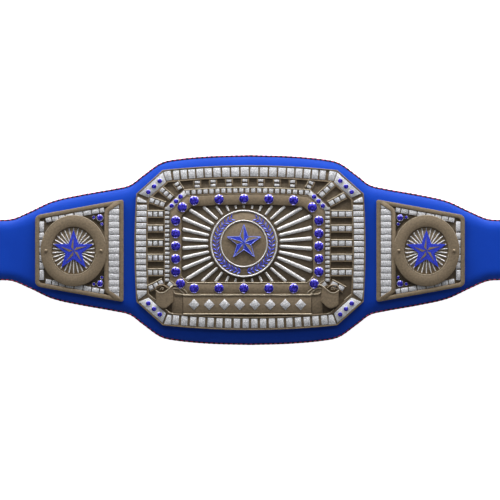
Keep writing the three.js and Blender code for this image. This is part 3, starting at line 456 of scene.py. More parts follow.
def make_piece(name, shells, material, bevel=0.0, smooth_angle=35):
    piece = add_object(name, to_mesh(name, shells))
    if bevel:
        add_bevel(piece, bevel)
    return settle(piece, material, smooth_angle)


# %% [markdown]
# Tiles, rays, leaves, stones and studs repeat, so one Geometry Nodes tree sets copies of a
# template on points. Each point says how far its copy turns and how long, wide and high it is.
# Realize Instances makes them real faces, which the export needs.

# %% Copies on points
copies_tree = bpy.data.node_groups.new("Copies on points", "GeometryNodeTree")
sockets = {}
for title, kind in (("Points", "NodeSocketGeometry"), ("Template", "NodeSocketObject"),
                    ("Finish", "NodeSocketMaterial")):
    sockets[title] = copies_tree.interface.new_socket(title, in_out="INPUT", socket_type=kind)
copies_tree.interface.new_socket("Copies", in_out="OUTPUT", socket_type="NodeSocketGeometry")
copies_in = copies_tree.nodes.new("NodeGroupInput")
copies_out = copies_tree.nodes.new("NodeGroupOutput")
template_node = copies_tree.nodes.new("GeometryNodeObjectInfo")
instance_node = copies_tree.nodes.new("GeometryNodeInstanceOnPoints")
realize_node = copies_tree.nodes.new("GeometryNodeRealizeInstances")
finish_node = copies_tree.nodes.new("GeometryNodeSetMaterial")
euler_node = copies_tree.nodes.new("FunctionNodeEulerToRotation")
point_values = {}
for title in ("turn", "size"):
    reader = copies_tree.nodes.new("GeometryNodeInputNamedAttribute")
    reader.data_type = "FLOAT_VECTOR"
    reader.inputs["Name"].default_value = title
    point_values[title] = reader.outputs["Attribute"]
link = copies_tree.links.new
link(copies_in.outputs["Points"], instance_node.inputs["Points"])
link(copies_in.outputs["Template"], template_node.inputs["Object"])
link(template_node.outputs["Geometry"], instance_node.inputs["Instance"])
link(point_values["turn"], euler_node.inputs["Euler"])
link(euler_node.outputs["Rotation"], instance_node.inputs["Rotation"])
link(point_values["size"], instance_node.inputs["Scale"])
link(instance_node.outputs["Instances"], realize_node.inputs["Geometry"])
link(realize_node.outputs["Geometry"], finish_node.inputs["Geometry"])
link(copies_in.outputs["Finish"], finish_node.inputs["Material"])
link(finish_node.outputs["Geometry"], copies_out.inputs["Copies"])


def copies(name, template_shells, rows, material, bevel=0.0, smooth_angle=35):
    """Rows are (x, y, z, turn in radians, (length, width, height))."""
    template = bpy.data.objects.new("template", to_mesh("template", template_shells))
    points = bpy.data.meshes.new(name)
    points.from_pydata([Vector(row[:3]) * MM for row in rows], [], [])
    for title, values in (("turn", [(0, 0, row[3]) for row in rows]),
                          ("size", [row[4] for row in rows])):
        attribute = points.attributes.new(title, "FLOAT_VECTOR", "POINT")
        attribute.data.foreach_set("vector", [v for value in values for v in value])
    piece = add_object(name, points)
    tool = piece.modifiers.new("copies", "NODES")
    tool.node_group = copies_tree
    tool[sockets["Template"].identifier] = template
    tool[sockets["Finish"].identifier] = material
    if bevel:
        add_bevel(piece, bevel)
    settle(piece, material, smooth_angle)
    bpy.data.objects.remove(template)
    return piece


TILE_BEVEL = 0.3
unit_block = slab([(-0.5, -0.5), (0.5, -0.5), (0.5, 0.5), (-0.5, 0.5)], 0, 1)

# %% [markdown]
# ## Outlines
# The main plate is a set of nested eight-sided outlines with slightly bowed sides. They are
# worked out here from the same sizes as the solid model's.


# %% Outline helpers
SIDE_STEPS = 12


def bowed_side(start, end, bow):
    (x0, y0), (x1, y1) = start, end
    length = math.hypot(x1 - x0, y1 - y0)
    points = []
    for i in range(SIDE_STEPS + 1):
        share = i / SIDE_STEPS
        swell = bow * 4 * share * (1 - share)
        points.append((x0 + (x1 - x0) * share + (y1 - y0) / length * swell,
                       y0 + (y1 - y0) * share + (x0 - x1) / length * swell))
    return points


def octagon(left, right, bottom, top, lower, upper, side_bow, top_bow, bottom_bow):
    """Anticlockwise from the bottom side's left end; lower and upper are (run, rise)."""
    x0, x1, y0, y1 = left + side_bow, right - side_bow, bottom + bottom_bow, top - top_bow
    return [
        *bowed_side((x0 + lower[0], y0), (x1 - lower[0], y0), bottom_bow),
        *bowed_side((x1, y0 + lower[1]), (x1, y1 - upper[1]), side_bow),
        *bowed_side((x1 - upper[0], y1), (x0 + upper[0], y1), top_bow),
        *bowed_side((x0, y1 - upper[1]), (x0, y0 + lower[1]), side_bow),
    ]


def left_normal(start, end):
    length = math.hypot(end[0] - start[0], end[1] - start[1])
    return (start[1] - end[1]) / length, (end[0] - start[0]) / length


def inset(outline, distance):
    moved = []
    for i, point in enumerate(outline):
        a = left_normal(outline[i - 1], point)
        b = left_normal(point, outline[(i + 1) % len(outline)])
        scale = distance / (1 + a[0] * b[0] + a[1] * b[1])
        moved.append((point[0] + (a[0] + b[0]) * scale, point[1] + (a[1] + b[1]) * scale))
    return moved


def side_of(outline, side):
    """Sides count 0 bottom, 1 right, 2 top, 3 left."""
    start = side * (SIDE_STEPS + 1)
    return outline[start:start + SIDE_STEPS + 1]


def band_corner(outer, inner, side):
    after = (side + 1) % 4
    return [side_of(outer, side)[-1], side_of(outer, after)[0],
            side_of(inner, after)[0], side_of(inner, side)[-1]]


def mix(a, b, share):
    return tuple(p + (q - p) * share for p, q in zip(a, b))


def reach_to(outline, start, angle):
    """How far a line runs before it meets a convex outline."""
    dx, dy = math.cos(angle), math.sin(angle)
    best = math.inf
    for i, (x0, y0) in enumerate(outline):
        x1, y1 = outline[(i + 1) % len(outline)]
        ex, ey = x1 - x0, y1 - y0
        cross = dx * ey - dy * ex
        if abs(cross) < 1e-9:
            continue
        along = ((x0 - start[0]) * ey - (y0 - start[1]) * ex) / cross
        share = ((x0 - start[0]) * dy - (y0 - start[1]) * dx) / cross
        if along > 0 and -1e-6 <= share <= 1 + 1e-6:
            best = min(best, along)
    return best


def ellipse(centre, half_width, half_height, sides=96):
    return [(centre[0] + half_width * math.cos(2 * math.pi * i / sides),
             centre[1] + half_height * math.sin(2 * math.pi * i / sides)) for i in range(sides)]


# %% Outlines of the main plate
def middle_of(node):
    low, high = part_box(node)
    return tuple((a + b) / 2 / MM for a, b in zip(low, high))


plate_low, plate_high = box_of("main_plate")
plate_half = (plate_high.x, (plate_high.y - plate_low.y) / 2)
plate_lift = (plate_high.y + plate_low.y) / 2
plate_back = plate_low.z
floor_z, groove_z, tile_z, rim_z = (plate_back + h for h in (2.2, 3.2, 4.2, 4.5))
frame_low, frame_high = box_of("stone_frame")

plate_edge = octagon(plate_low.x, plate_high.x, plate_low.y, plate_high.y, (33, 29.5),
                     (33, 29.5), 2.4, 5.9, 5.9)
frame_edge = octagon(frame_low.x, frame_high.x, frame_low.y, frame_high.y, (16, 16),
                     (20.5, 19.5), 0, 3, 0)
sunk_edge = inset(plate_edge, 15.5)
small_edge = inset(frame_edge, -7.5)
window_edge = inset(frame_edge, 14.2)
medallion_middle = middle_of("medallion")[:2]
print("medallion centre, mm:", [round(v, 1) for v in medallion_middle])

# %% [markdown]
# ## The strap
# The strap is a long band of smooth leather over thin foam. Its surface rises in a soft roll
# from a dyed edge and carries the castings on its back. The outline follows a table of
# shares, like the solid model's, but with far more steps, so no facet shows.

# %% Strap outline
strap_high = box_of("strap")[1]
half_length, half_body = strap_high.x, strap_high.y
strap_top = strap_high.z
half_tail, tail_end_radius = 37.5, 30.0
side_outer_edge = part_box("side_plate_right")[1][0] / MM
strap_sections = [(0, 1), (0.186, 0.982), (0.349, 0.932), (0.419, 0.872), (0.5, 0.682),
                  (0.558, 0.54), (0.628, 0.482), (0.79, 0.386), (0.92, 0.288), (1.024, 0.13),
                  (1.107, 0.016), (1.18, 0)]


def through(points, steps):
    """A smooth curve y(x) through points of rising x, with as many steps between each two."""
    last = len(points) - 1
    slopes = []
    for i in range(last + 1):
        (x0, y0), (x1, y1) = points[max(i - 1, 0)], points[min(i + 1, last)]
        slopes.append((y1 - y0) / (x1 - x0))
    curve = []
    for i in range(last):
        (x0, y0), (x1, y1) = points[i], points[i + 1]
        span = x1 - x0
        for step in range(steps):
            t = step / steps
            swing = (t - 2 * t * t + t ** 3) * slopes[i] + (t ** 3 - t * t) * slopes[i + 1]
            rise = 3 * t * t - 2 * t ** 3
            curve.append((x0 + span * t, y0 + (y1 - y0) * rise + span * swing))
    return [*curve, points[last]]


def wing_edge():
    """Points (x, y, fullness) of one wing's upper edge, from the middle to the tail's end."""
    edge = [(reach * side_outer_edge, half_tail + full * (half_body - half_tail), max(full, 0))
            for reach, full in through(strap_sections, 10)[:-1]]
    start = strap_sections[-1][0] * side_outer_edge
    straight = half_length - tail_end_radius
    for step in range(30):
        edge.append((start + (straight - start) * step / 30, half_tail, 0))
    for step in range(17):
        turn = math.pi / 2 * (1 - step / 16)
        edge.append((straight + tail_end_radius * math.cos(turn),
                     half_tail - tail_end_radius * (1 - math.sin(turn)), 0))
    return edge


upper = wing_edge()
strap_edge = [(x, y, f) for x, y, f in reversed(upper)]
strap_edge += [(-x, y, f) for x, y, f in upper[1:]]
strap_edge += [(-x, -y, f) for x, y, f in reversed(upper)]
strap_edge += [(x, -y, f) for x, y, f in upper[1:]]
strap_outline = [(x, y) for x, y, _ in strap_edge]
print("strap outline:", len(strap_outline), "points")

# %% Strap skin
body_roll, tail_roll, edge_height = 24.0, 16.0, 2.4
roll_steps = 18


def strap_skin():
    """Rings from the edge inwards; the last one bounds the flat middle."""
    count = len(strap_edge)
    normals = [left_normal(strap_outline[i - 1], strap_outline[(i + 1) % count])
               for i in range(count)]
    points = [(x, y, 0) for x, y in strap_outline]
    for step in range(roll_steps + 1):
        share = (step / roll_steps) ** 1.4
        rise = 1 - (1 - share) ** 2.7
        z = edge_height + (strap_top - edge_height) * rise
        for (x, y, full), (nx, ny) in zip(strap_edge, normals):
            roll = tail_roll + (body_roll - tail_roll) * full
            points.append((x + nx * roll * share, y + ny * roll * share, z))
    faces = [tuple(range(count))[::-1]]
    for level in range(roll_steps + 1):
        a, b = level * count, (level + 1) * count
        faces += [(a + i, a + (i + 1) % count, b + (i + 1) % count, b + i)
                  for i in range(count)]
    last = (roll_steps + 1) * count
    faces.append(tuple(range(last, last + count)))
    return points, faces


leather, leather_tree, leather_shader = new_material("blue leather", 0.0, 0.42)
leather_shader.inputs["Specular IOR Level"].default_value = 0.45
leather_shader.inputs["Specular Tint"].default_value = (0.62, 0.82, 1, 1)
pores = use_group(leather_tree, fine_grain, Scale=1300.0, Depth=0.00006)
dye = map_range(leather_tree, noise(leather_tree, 25.0), (0.3, 0.7), (0.0, 1.0))
leather_tree.links.new(
    mix_colour(leather_tree, dye, (0.005, 0.056, 0.5, 1), (0.004, 0.048, 0.45, 1)),
    leather_shader.inputs["Base Color"])
leather_tree.links.new(pores.outputs["Normal"], leather_shader.inputs["Normal"])
leather_tree.links.new(
    map_range(leather_tree, pores.outputs["Mask"], (0.3, 0.7), (0.34, 0.46)),
    leather_shader.inputs["Roughness"])
strap_skin_piece = make_piece("strap_leather", [strap_skin()], leather,
                              smooth_angle=50)
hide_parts("strap")

# %% [markdown]
# The cut edge is painted crimson, and black thread whips over it at a steady pitch. A closed
# curve along the edge is resampled by length in Geometry Nodes, and each point gets one stitch
# turned along the curve.

# %% Painted edge
crimson, crimson_tree, crimson_shader = new_material("crimson edge paint", 0.0, 0.45)
crimson_tree.links.new(
    mix_colour(crimson_tree, noise(crimson_tree, 300.0), (0.42, 0.02, 0.08, 1),
               (0.28, 0.012, 0.05, 1)), crimson_shader.inputs["Base Color"])
edge_radius = 1.05
edge_line = inset(strap_outline, 0.65)
edge_path = [(x, y, edge_height + 0.1) for x, y in edge_line]
make_piece("strap_edge_paint", [rod([*edge_path, edge_path[0]], edge_radius, 10)], crimson)

# %% Whip stitches
stitch_tree = bpy.data.node_groups.new("Stitches along an edge", "GeometryNodeTree")
stitch_sockets = {}
for title, kind in (("Edge", "NodeSocketGeometry"), ("Pitch", FLOAT), ("Length", FLOAT),
                    ("Radius", FLOAT), ("Thread", "NodeSocketMaterial")):
    stitch_sockets[title] = stitch_tree.interface.new_socket(title, in_out="INPUT",
                                                             socket_type=kind)
stitch_tree.interface.new_socket("Stitches", in_out="OUTPUT", socket_type="NodeSocketGeometry")
names = ("NodeGroupInput", "GeometryNodeMeshToCurve", "GeometryNodeResampleCurve",
         "GeometryNodeInputTangent", "FunctionNodeAlignRotationToVector",
         "GeometryNodeMeshCylinder", "GeometryNodeInstanceOnPoints",
         "GeometryNodeRealizeInstances", "GeometryNodeSetMaterial", "NodeGroupOutput")
(stitch_in, to_curve, resample, tangent, align, thread_shape, put, realize, set_thread,
 stitch_out) = (stitch_tree.nodes.new(name) for name in names)
resample.mode = "LENGTH"
align.axis = "Z"
thread_shape.inputs["Vertices"].default_value = 10
link = stitch_tree.links.new
link(stitch_in.outputs["Edge"], to_curve.inputs["Mesh"])
link(to_curve.outputs["Curve"], resample.inputs["Curve"])
link(stitch_in.outputs["Pitch"], resample.inputs["Length"])
link(resample.outputs["Curve"], put.inputs["Points"])
link(stitch_in.outputs["Length"], thread_shape.inputs["Depth"])
link(stitch_in.outputs["Radius"], thread_shape.inputs["Radius"])
link(thread_shape.outputs["Mesh"], put.inputs["Instance"])
link(tangent.outputs["Tangent"], align.inputs["Vector"])
link(align.outputs["Rotation"], put.inputs["Rotation"])
link(put.outputs["Instances"], realize.inputs["Geometry"])
link(realize.outputs["Geometry"], set_thread.inputs["Geometry"])
link(stitch_in.outputs["Thread"], set_thread.inputs["Material"])
link(set_thread.outputs["Geometry"], stitch_out.inputs["Stitches"])

black_thread, thread_tree, thread_shader = new_material("black thread", 0.0, 0.7)
fibres = use_group(thread_tree, fine_grain, Scale=2500.0, Depth=0.0001)
thread_tree.links.new(
    mix_colour(thread_tree, fibres.outputs["Mask"], (0.004, 0.004, 0.006, 1),
               (0.02, 0.02, 0.03, 1)), thread_shader.inputs["Base Color"])
thread_tree.links.new(fibres.outputs["Normal"], thread_shader.inputs["Normal"])
edge_mesh = bpy.data.meshes.new("strap_stitches")
edge_mesh.from_pydata([Vector(p) * MM for p in edge_path],
                      [(i, (i + 1) % len(edge_path)) for i in range(len(edge_path))], [])
stitches = add_object("strap_stitches", edge_mesh)
stitch_tool = stitches.modifiers.new("stitches", "NODES")
stitch_tool.node_group = stitch_tree
for title, value in (("Pitch", 6.2 * MM), ("Length", 2.9 * MM), ("Radius", 1.2 * MM),
                     ("Thread", black_thread)):
    stitch_tool[stitch_sockets[title].identifier] = value
settle(stitches, black_thread, 50)

# %% [markdown]
# ## The main plate
# One bronze casting carries everything else: a raised outer band for the big tiles, a sunk
# band crossed by short tiled bars, and a raised line around the stone frame. Its silver
# tiles were plated apart, so they are pieces of their own here.


# %% Short tiled bars
bar_wall, bar_wall_rise, bar_bed_rise = 1.3, 2.1, 1.0
cell_rise, cell_side_room = 1.5, 2.6
long_bar_gap, short_bar_gap = 1.7, 2.2


def cell_bar(start, end, cells, width):
    """Tray walls and silver cells between two points of the sunk band."""
    length = math.hypot(end[0] - start[0], end[1] - start[1])
    along = ((end[0] - start[0]) / length, (end[1] - start[1]) / length)
    across = (-along[1], along[0])
    turn = math.atan2(along[1], along[0])
    middle = mix(start, end, 0.5)
    walls = [(*(m + a * side * width / 2 for m, a in zip(middle, across)), floor_z - 0.2, turn,
              (length, bar_wall, bar_wall_rise)) for side in (-1, 1)]
    bed = (*middle, floor_z - 0.2, turn, (length, width, bar_bed_rise))
    pitch = length / cells
    gap = long_bar_gap if cells > 2 else short_bar_gap
    tiles = []
    for i in range(cells):
        x, y = mix(start, end, (i + 0.5) / cells)
        tiles.append((x, y, floor_z + 0.6, turn,
                      (pitch - gap, width - cell_side_room, cell_rise)))
    return [*walls, bed], tiles


bars = []
for i in range(5):
    y = 45 - 18.25 * i
    bars += [((-128.3, y), (-108.2, y), 3, 8.6), ((101.2, y), (128, y), 3, 8.6)]
up = math.pi / 2
for i in range(7):
    x = -66 + 19.87 * i
    low, high = reach_to(small_edge, (x, 0), up), reach_to(sunk_edge, (x, 0), up)
    bars.append(((x, low + 0.6), (x, high - 0.9), 2, 8.6))
bars += [
    ((-126, 63.2), (-106.5, 56.2), 3, 8), ((-112, 77), (-97.5, 64.5), 3, 8),
    ((-93, 85), (-86.5, 75.2), 2, 8), ((119.5, 68.5), (98.5, 57), 3, 8),
    ((104.5, 83.5), (87, 67.2), 3, 8), ((77.5, 86.5), (72.5, 76.5), 2, 8),
    ((-127, -48.5), (-108.5, -39.2), 3, 8), ((-103, -40.8), (-96, -46), 1, 8),
    ((101, -40.5), (118, -49.5), 2, 8), ((95.5, -40.5), (88.5, -45.5), 1, 8),
]
bar_blocks, bar_tiles, rim_lines = [], [], []
for start, end, cells, width in bars:
    across = left_normal(start, end)
    side = 1 if across[1] > 0 else -1
    # Painted highlight: a bright rod along the upper side of each bar, where the key light falls.
    if abs(across[1]) > 0.3:
        rim_lines.append([(x + across[0] * side * width / 2, y + across[1] * side * width / 2,
                           rim_z - 0.3) for x, y in (start, end)])
    blocks, cell_tiles = cell_bar(start, end, cells, width)
    bar_blocks += blocks
    bar_tiles += cell_tiles
print(len(bars), "bars with", len(bar_tiles), "cells")

# %% Main casting
small_outer = [*side_of(small_edge, 1), *side_of(small_edge, 2), *side_of(small_edge, 3)]
frame_outer = inset(frame_edge, -0.3)
small_inner = [*side_of(frame_outer, 1), *side_of(frame_outer, 2), *side_of(frame_outer, 3)]
line_inner = inset(small_edge, 1.1)
line_inner = [*side_of(line_inner, 1), *side_of(line_inner, 2), *side_of(line_inner, 3)]
main_casting = make_piece("main_casting", [
    slab(plate_edge, plate_back, floor_z),
    band(plate_edge, sunk_edge, floor_z - 0.2, groove_z),
    band(plate_edge, inset(plate_edge, 1.5), groove_z - 0.2, rim_z),
    band(inset(sunk_edge, -0.8), inset(sunk_edge, 0.8), floor_z - 0.2, rim_z - 0.1),
    slab(small_outer + small_inner[::-1], floor_z - 0.2, groove_z),
    slab(small_outer + line_inner[::-1], floor_z - 0.2, rim_z - 0.3),
], bronze, bevel=0.35)
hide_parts("main_plate")
copies("main_bar_trays", [unit_block], bar_blocks, bronze, bevel=0.25)
small_line = inset([*side_of(small_edge, 1)[-1:], *side_of(small_edge, 2),
                    *side_of(small_edge, 3)[:1]][::-1], -0.4)
rim_lines.append([(x, y, rim_z - 0.5) for x, y in small_line[1:-1]])
for side in (-1, 1):
    for line in ([(126.6, -55.4), (118, -62.6)], [(105.1, -74.1), (100.3, -78.8), (96, -79.8)]):
        rim_lines.append([(side * x, y, rim_z - 0.3) for x, y in line])
# These bright rods are painted highlights on the rims that catch the key light.
make_piece("main_wiped_rims", [rod(line, 0.55, 8) for line in rim_lines], bright_bronze,
           smooth_angle=60)


# %% Tiles of the outer band
def on_bow(x, end_y, bow, half):
    """Height and slope of a bowed row at x."""
    return end_y + bow * (1 - (x / half) ** 2), math.atan2(-2 * bow * x / half ** 2, 1)


tile_base = groove_z - 0.2
tile_rise = tile_z - tile_base
outer_tiles = []
row_half = plate_half[0] - 2.4 - 33
for side in (-1, 1):
    edges = [12.17 * k - 0.166 * k * k for k in range(10)]
    for a, b in zip(edges, edges[1:]):
        x = side * (a + b) / 2 - 0.7
        y, slope = on_bow(x, plate_high.y - 5.9 - 8.1, 5.9, row_half)
        outer_tiles.append((x, y, tile_base, slope, (b - a - 2.1, 11.4, tile_rise)))
    for k in range(9):
        x = side * (k + 0.5) * 10.94
        y, slope = on_bow(x, plate_low.y + 5.9 + 8.2, -5.9, row_half)
        outer_tiles.append((x, y, tile_base, slope, (7.6, 11.6, tile_rise)))
    for k in range(14):
        y = 4 + (k - 6.5) * 7.56
        swell = 2.4 * (1 - ((y - plate_lift) / 73.5) ** 2)
        x = side * (plate_half[0] - 2.4 - 8.2 + swell)
        outer_tiles.append((x, y, tile_base, 0, (12.4, 6.1, tile_rise)))

# %% Tiles of the small line around the frame
small_tiles = []
for k in range(17):
    y = 52 - 5.6 * k
    small_tiles.append((frame_low.x - 3.6, y, tile_base, 0, (5.4, 3.4, tile_rise)))
    small_tiles.append((frame_high.x + 3.6, y, tile_base, 0, (5.4, 3.4, tile_rise)))
frame_middle_x = (frame_low.x + frame_high.x) / 2
for k in range(21):
    x = frame_middle_x + (k - 10) * 7.46
    y, slope = on_bow(x - frame_middle_x, frame_high.y - 3 + 3.4, 3, 80)
    small_tiles.append((x, y, tile_base, slope, (4.9, 5.4, tile_rise)))
copies("main_tiles", [unit_block], outer_tiles + small_tiles + bar_tiles, silver,
       bevel=TILE_BEVEL)


# %% Slanted end tiles
def mirrored(outline):
    return [(-x, y) for x, y in outline]


end_tiles = [
    [(-108.2, 97.6), (-99.4, 99.2), (-97.7, 87.4), (-104.4, 86.4)],
    [(-107.7, -92.7), (-98.2, -93.4), (-98.2, -81.4), (-103.1, -80.9)],
    [(-141.6, 59.6), (-129.6, 59.2), (-129.6, 61.2), (-140.4, 66.6)],
    [(-141.6, -50.6), (-139.8, -62.1), (-129.4, -54.6), (-129.4, -50.8)],
]
end_shells = [slab(shape, tile_base, tile_z)
              for outline in end_tiles for shape in (outline, mirrored(outline))]
make_piece("main_end_tiles", end_shells, silver, bevel=TILE_BEVEL)

# %% [markdown]
# ## Sun rays
# A ray is a flat strip with rounded edges that grows wider outwards and ends in a half circle.
# One template of unit length is copied and stretched to the window's edge.


# %% Ray template
RAY_SECTION = [(1, 0), (0.94, 0.6), (0.6, 1), (-0.6, 1), (-0.94, 0.6), (-1, 0)]


def ray_shell(taper):
    """A flat-backed strip along X from 0 to 1, with unit width at its outer end."""
    stations = 14
    points, faces = [], []
    sides = len(RAY_SECTION)
    for i in range(stations + 1):
        share = (1 - math.cos(math.pi * i / stations)) / 2
        end = min(share, 1 - share)
        round_off = math.sqrt(max(1 - (1 - min(end / 0.05, 1)) ** 2, 0.0004))
        half = 0.5 * (taper + (1 - taper) * share) * round_off
        points += [(share, half * y, z * round_off) for y, z in RAY_SECTION]
    for i in range(stations):
        for k in range(sides):
            n = (k + 1) % sides
            faces.append((i * sides + k, i * sides + n, (i + 1) * sides + n, (i + 1) * sides + k))
    last = stations * sides
    return points, [tuple(range(sides)), tuple(range(last, last + sides)), *faces]


def sun_rays(name, centre, count, stretch, inner, end_at, width, growth, low, rise, taper):
    """Rays from inner to end_at(angle); width grows with length by the share growth."""
    rows = []
    for i in range(count):
        even = 2 * math.pi * i / count
        angle = math.pi / 2 - math.atan2(stretch * math.sin(even), math.cos(even))
        length = end_at(angle) - inner
        if length > 1:
            rows.append((centre[0] + inner * math.cos(angle), centre[1] + inner * math.sin(angle),
                         low, angle,
                         (length, width + growth * length, rise)))
    return copies(name, [ray_shell(taper)], rows, ray_silver, smooth_angle=60)


ray_window = inset(window_edge, 1.0)
ray_count, ray_stretch, ray_start = 34, 1.21, 44.6
ray_width, ray_growth, ray_rise, ray_taper = 3.0, 0.045, 1.3, 0.78
sun_rays("main_rays", medallion_middle, ray_count, ray_stretch, ray_start,
         lambda angle: reach_to(ray_window, medallion_middle, angle), ray_width, ray_growth,
         floor_z - 0.1, ray_rise, ray_taper)

# %% [markdown]
# ## Stone frame
# A flat bronze frame surrounds the rays. A bright rod along its inner edge below the window is a
# painted highlight, where the low key light falls on that edge.
# Each large stone has a brilliant cut crown: a table, eight star facets, eight kites and
# sixteen small facets above the girdle. That is what makes the points of light in the photo.

# %% Frame
frame_bottom, frame_top = frame_low.z, frame_high.z
stone_frame = make_piece("frame_face", [
    band(frame_edge, window_edge, frame_bottom, frame_top),
    band(frame_edge, inset(frame_edge, 0.9), frame_top - 0.3, frame_top + 0.35),
], bronze, bevel=0.3)
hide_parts("stone_frame")
# Painted highlight: the bright rod runs only along the window's lower edge, which faces the key
# light.
lip_line = [side_of(window_edge, 3)[-1], *side_of(window_edge, 0), side_of(window_edge, 1)[0]]
make_piece("frame_lip", [rod([(x, y, frame_top) for x, y in lip_line], 0.55)], bright_bronze,
           smooth_angle=60)


# %% Brilliant cut
# height over radius that lets the outer facets mirror the key light
CROWN = 0.355


def brilliant():
    """A round stone of unit radius and unit height, flat at the back."""
    def circle(radius, z, count, shift=0.0):
        return [(radius * math.cos(2 * math.pi * (k + shift) / count),
                 radius * math.sin(2 * math.pi * (k + shift) / count), z) for k in range(count)]

    points = [*circle(0.93, 0, 16), *circle(1, 0.3, 16), *circle(0.8, 0.72, 8, 0.5),
              *circle(0.56, 1, 8)]
    base, girdle, kite, table = 0, 16, 32, 40
    faces = [tuple(range(16))[::-1], tuple(range(table, table + 8))]
    for k in range(16):
        n = (k + 1) % 16
        faces.append((base + k, base + n, girdle + n, girdle + k))
    for k in range(8):
        n = (k + 1) % 8
        faces.append((kite + k, table + n, table + k))
        faces.append((table + k, kite + (k - 1) % 8, girdle + 2 * k, kite + k))
        faces.append((kite + k, girdle + 2 * k, girdle + 2 * k + 1))
        faces.append((kite + k, girdle + 2 * k + 1, girdle + (2 * k + 2) % 16))
    return points, faces


def cup(wall=0.13, height=1.0):
    """A thin raised ring of unit inner radius that holds a stone."""
    return ring((0, 0), 1 + wall / 2, wall, 0, height, 40)


stone_names = [f"stone_{side}_{k}" for side in ("left", "right", "top", "bottom")
               for k in range(1, 6)]
stone_names += [f"stone_corner_{place}" for place in ("lower_right", "upper_right",
                                                      "upper_left", "lower_left")]
stone_radius, cup_radius, cup_rise = 5.75, 5.85, 0.9
stone_rows, cup_rows = [], []
for number, name in enumerate(stone_names):
    x, y, _ = middle_of(name)
    stone_rows.append((x, y, frame_top + 0.1, 0.13 * (number % 3),
                       (stone_radius, stone_radius, stone_radius * CROWN)))
    cup_rows.append((x, y, frame_top - 0.1, 0, (cup_radius, cup_radius, cup_rise)))
frame_stones = copies("frame_stones", [brilliant()], stone_rows, glass, smooth_angle=1)
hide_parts(*stone_names)
copies("frame_stone_cups", [cup(0.09)], cup_rows, bright_bronze, smooth_angle=60)

# %% [markdown]
# ## Medallion
# The round plate in the middle has two silver rings with a laurel between them. Two branches
# of paired enamel leaves start at the bottom and stay open at the top.

# %% Medallion disc and rings
disc_low, disc_high = (corner[2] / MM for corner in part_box("medallion"))
disc_top = disc_low + 1.8
ring_rise = disc_high - disc_top
medallion_radius = 42.1
# radius and width of each ring
outer_ring, inner_ring = (41.1, 2.0), (28.9, 1.5)
medallion = make_piece("medallion_disc",
                       [slab(ellipse(medallion_middle, medallion_radius, medallion_radius),
                             disc_low, disc_top)], bronze, bevel=0.3)
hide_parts("medallion")
make_piece("medallion_rings", [
    ring(medallion_middle, *outer_ring, disc_top - 0.1, ring_rise),
    ring(medallion_middle, *inner_ring, disc_top - 0.1, ring_rise),
], ray_silver, smooth_angle=60)

# %% Laurel
leaf_outline = [(0, 0), (0.22, -0.38), (0.5, -0.5), (0.8, -0.3), (1, 0), (0.8, 0.3),
                (0.5, 0.5), (0.22, 0.38)]
leaf_points = [(x, y, 0) for x, y in leaf_outline] + [(0.25, 0, 0.8), (0.65, 0, 1)]
leaf_faces = [tuple(range(8))[::-1], (0, 1, 8), (1, 2, 8), (2, 9, 8), (2, 3, 9), (3, 4, 9),
              (4, 5, 9), (5, 6, 9), (6, 8, 9), (6, 7, 8), (7, 0, 8)]
leaf_pairs = 20
laurel_radius = 34.8
leaf_size, leaf_splay = (6.0, 1.8, 1.0), 0.72
leaf_rows, lit_leaf_rows, stem_rods = [], [], []
for side in (-1, 1):
    start, end = math.radians(7), math.radians(152)
    stem = []
    for i in range(leaf_pairs):
        turn = -math.pi / 2 + side * (start + (end - start) * i / (leaf_pairs - 1))
        stem.append((medallion_middle[0] + laurel_radius * math.cos(turn),
                     medallion_middle[1] + laurel_radius * math.sin(turn), disc_top + 0.1))
        heading = turn + side * math.pi / 2
        for row in (-1, 1):
            radius = laurel_radius + row * 0.5
            place = (medallion_middle[0] + radius * math.cos(turn),
                     medallion_middle[1] + radius * math.sin(turn), disc_top - 0.1)
            leaf = (*place, heading - side * row * leaf_splay, leaf_size)
            # Painted highlight: every other leaf is a pale copy, standing in for the light on the
            # laurel's leaves.
            (lit_leaf_rows if (i + (row > 0)) % 2 else leaf_rows).append(leaf)
    stem_rods.append(rod(stem, 0.35, 6))
leaf_template = (leaf_points, leaf_faces)
copies("laurel_leaves", [leaf_template], leaf_rows, blue_enamel)
copies("laurel_pale_leaves", [leaf_template], lit_leaf_rows, pale_enamel)
make_piece("laurel_stems", stem_rods, blue_enamel, smooth_angle=60)

# %% [markdown]
# ## Stars
# Each star has a ridge along every arm. The half of an arm that follows the ridge clockwise is
# blue enamel and the other half bronze, as on a sailor's star. The main star also has a pale
# line around every field.


# %% Star parts
STAR_NOTCH = 0.4


def star_corners(centre, radius):
    return [(centre[0] + (radius * STAR_NOTCH if i % 2 else radius)
             * math.cos(math.pi / 2 + math.pi * i / 5),
             centre[1] + (radius * STAR_NOTCH if i % 2 else radius)
             * math.sin(math.pi / 2 + math.pi * i / 5)) for i in range(10)]


def star_body(corners, centre, low, brim, peak):
    points = [(x, y, low) for x, y in corners] + [(x, y, brim) for x, y in corners]
    points += [(*centre, peak)]
    faces = [tuple(range(10))[::-1]]
    for i in range(10):
        n = (i + 1) % 10
        faces += [(i, n, n + 10, i + 10), (i + 10, n + 10, 20)]
    return points, faces


def star_fields(corners, centre, brim, peak, weights, lift):
    """Raised fields on the half of each arm that lies before its ridge."""
    shells = []
    for i in range(0, 10, 2):
        tip, notch = (*corners[i], brim), (*corners[i + 1], brim)
        hub = (*centre, peak)
        field = [tuple(sum(w * p[axis] for w, p in zip(share, (hub, tip, notch)))
                       for axis in range(3)) for share in weights]
        top = [(x, y, z + lift) for x, y, z in field]
        low = [(x, y, z - 0.3) for x, y, z in field]
        shells.append((low + top, [(2, 1, 0), (3, 4, 5), (0, 1, 4, 3), (1, 2, 5, 4),
                                   (2, 0, 3, 5)]))
    return shells


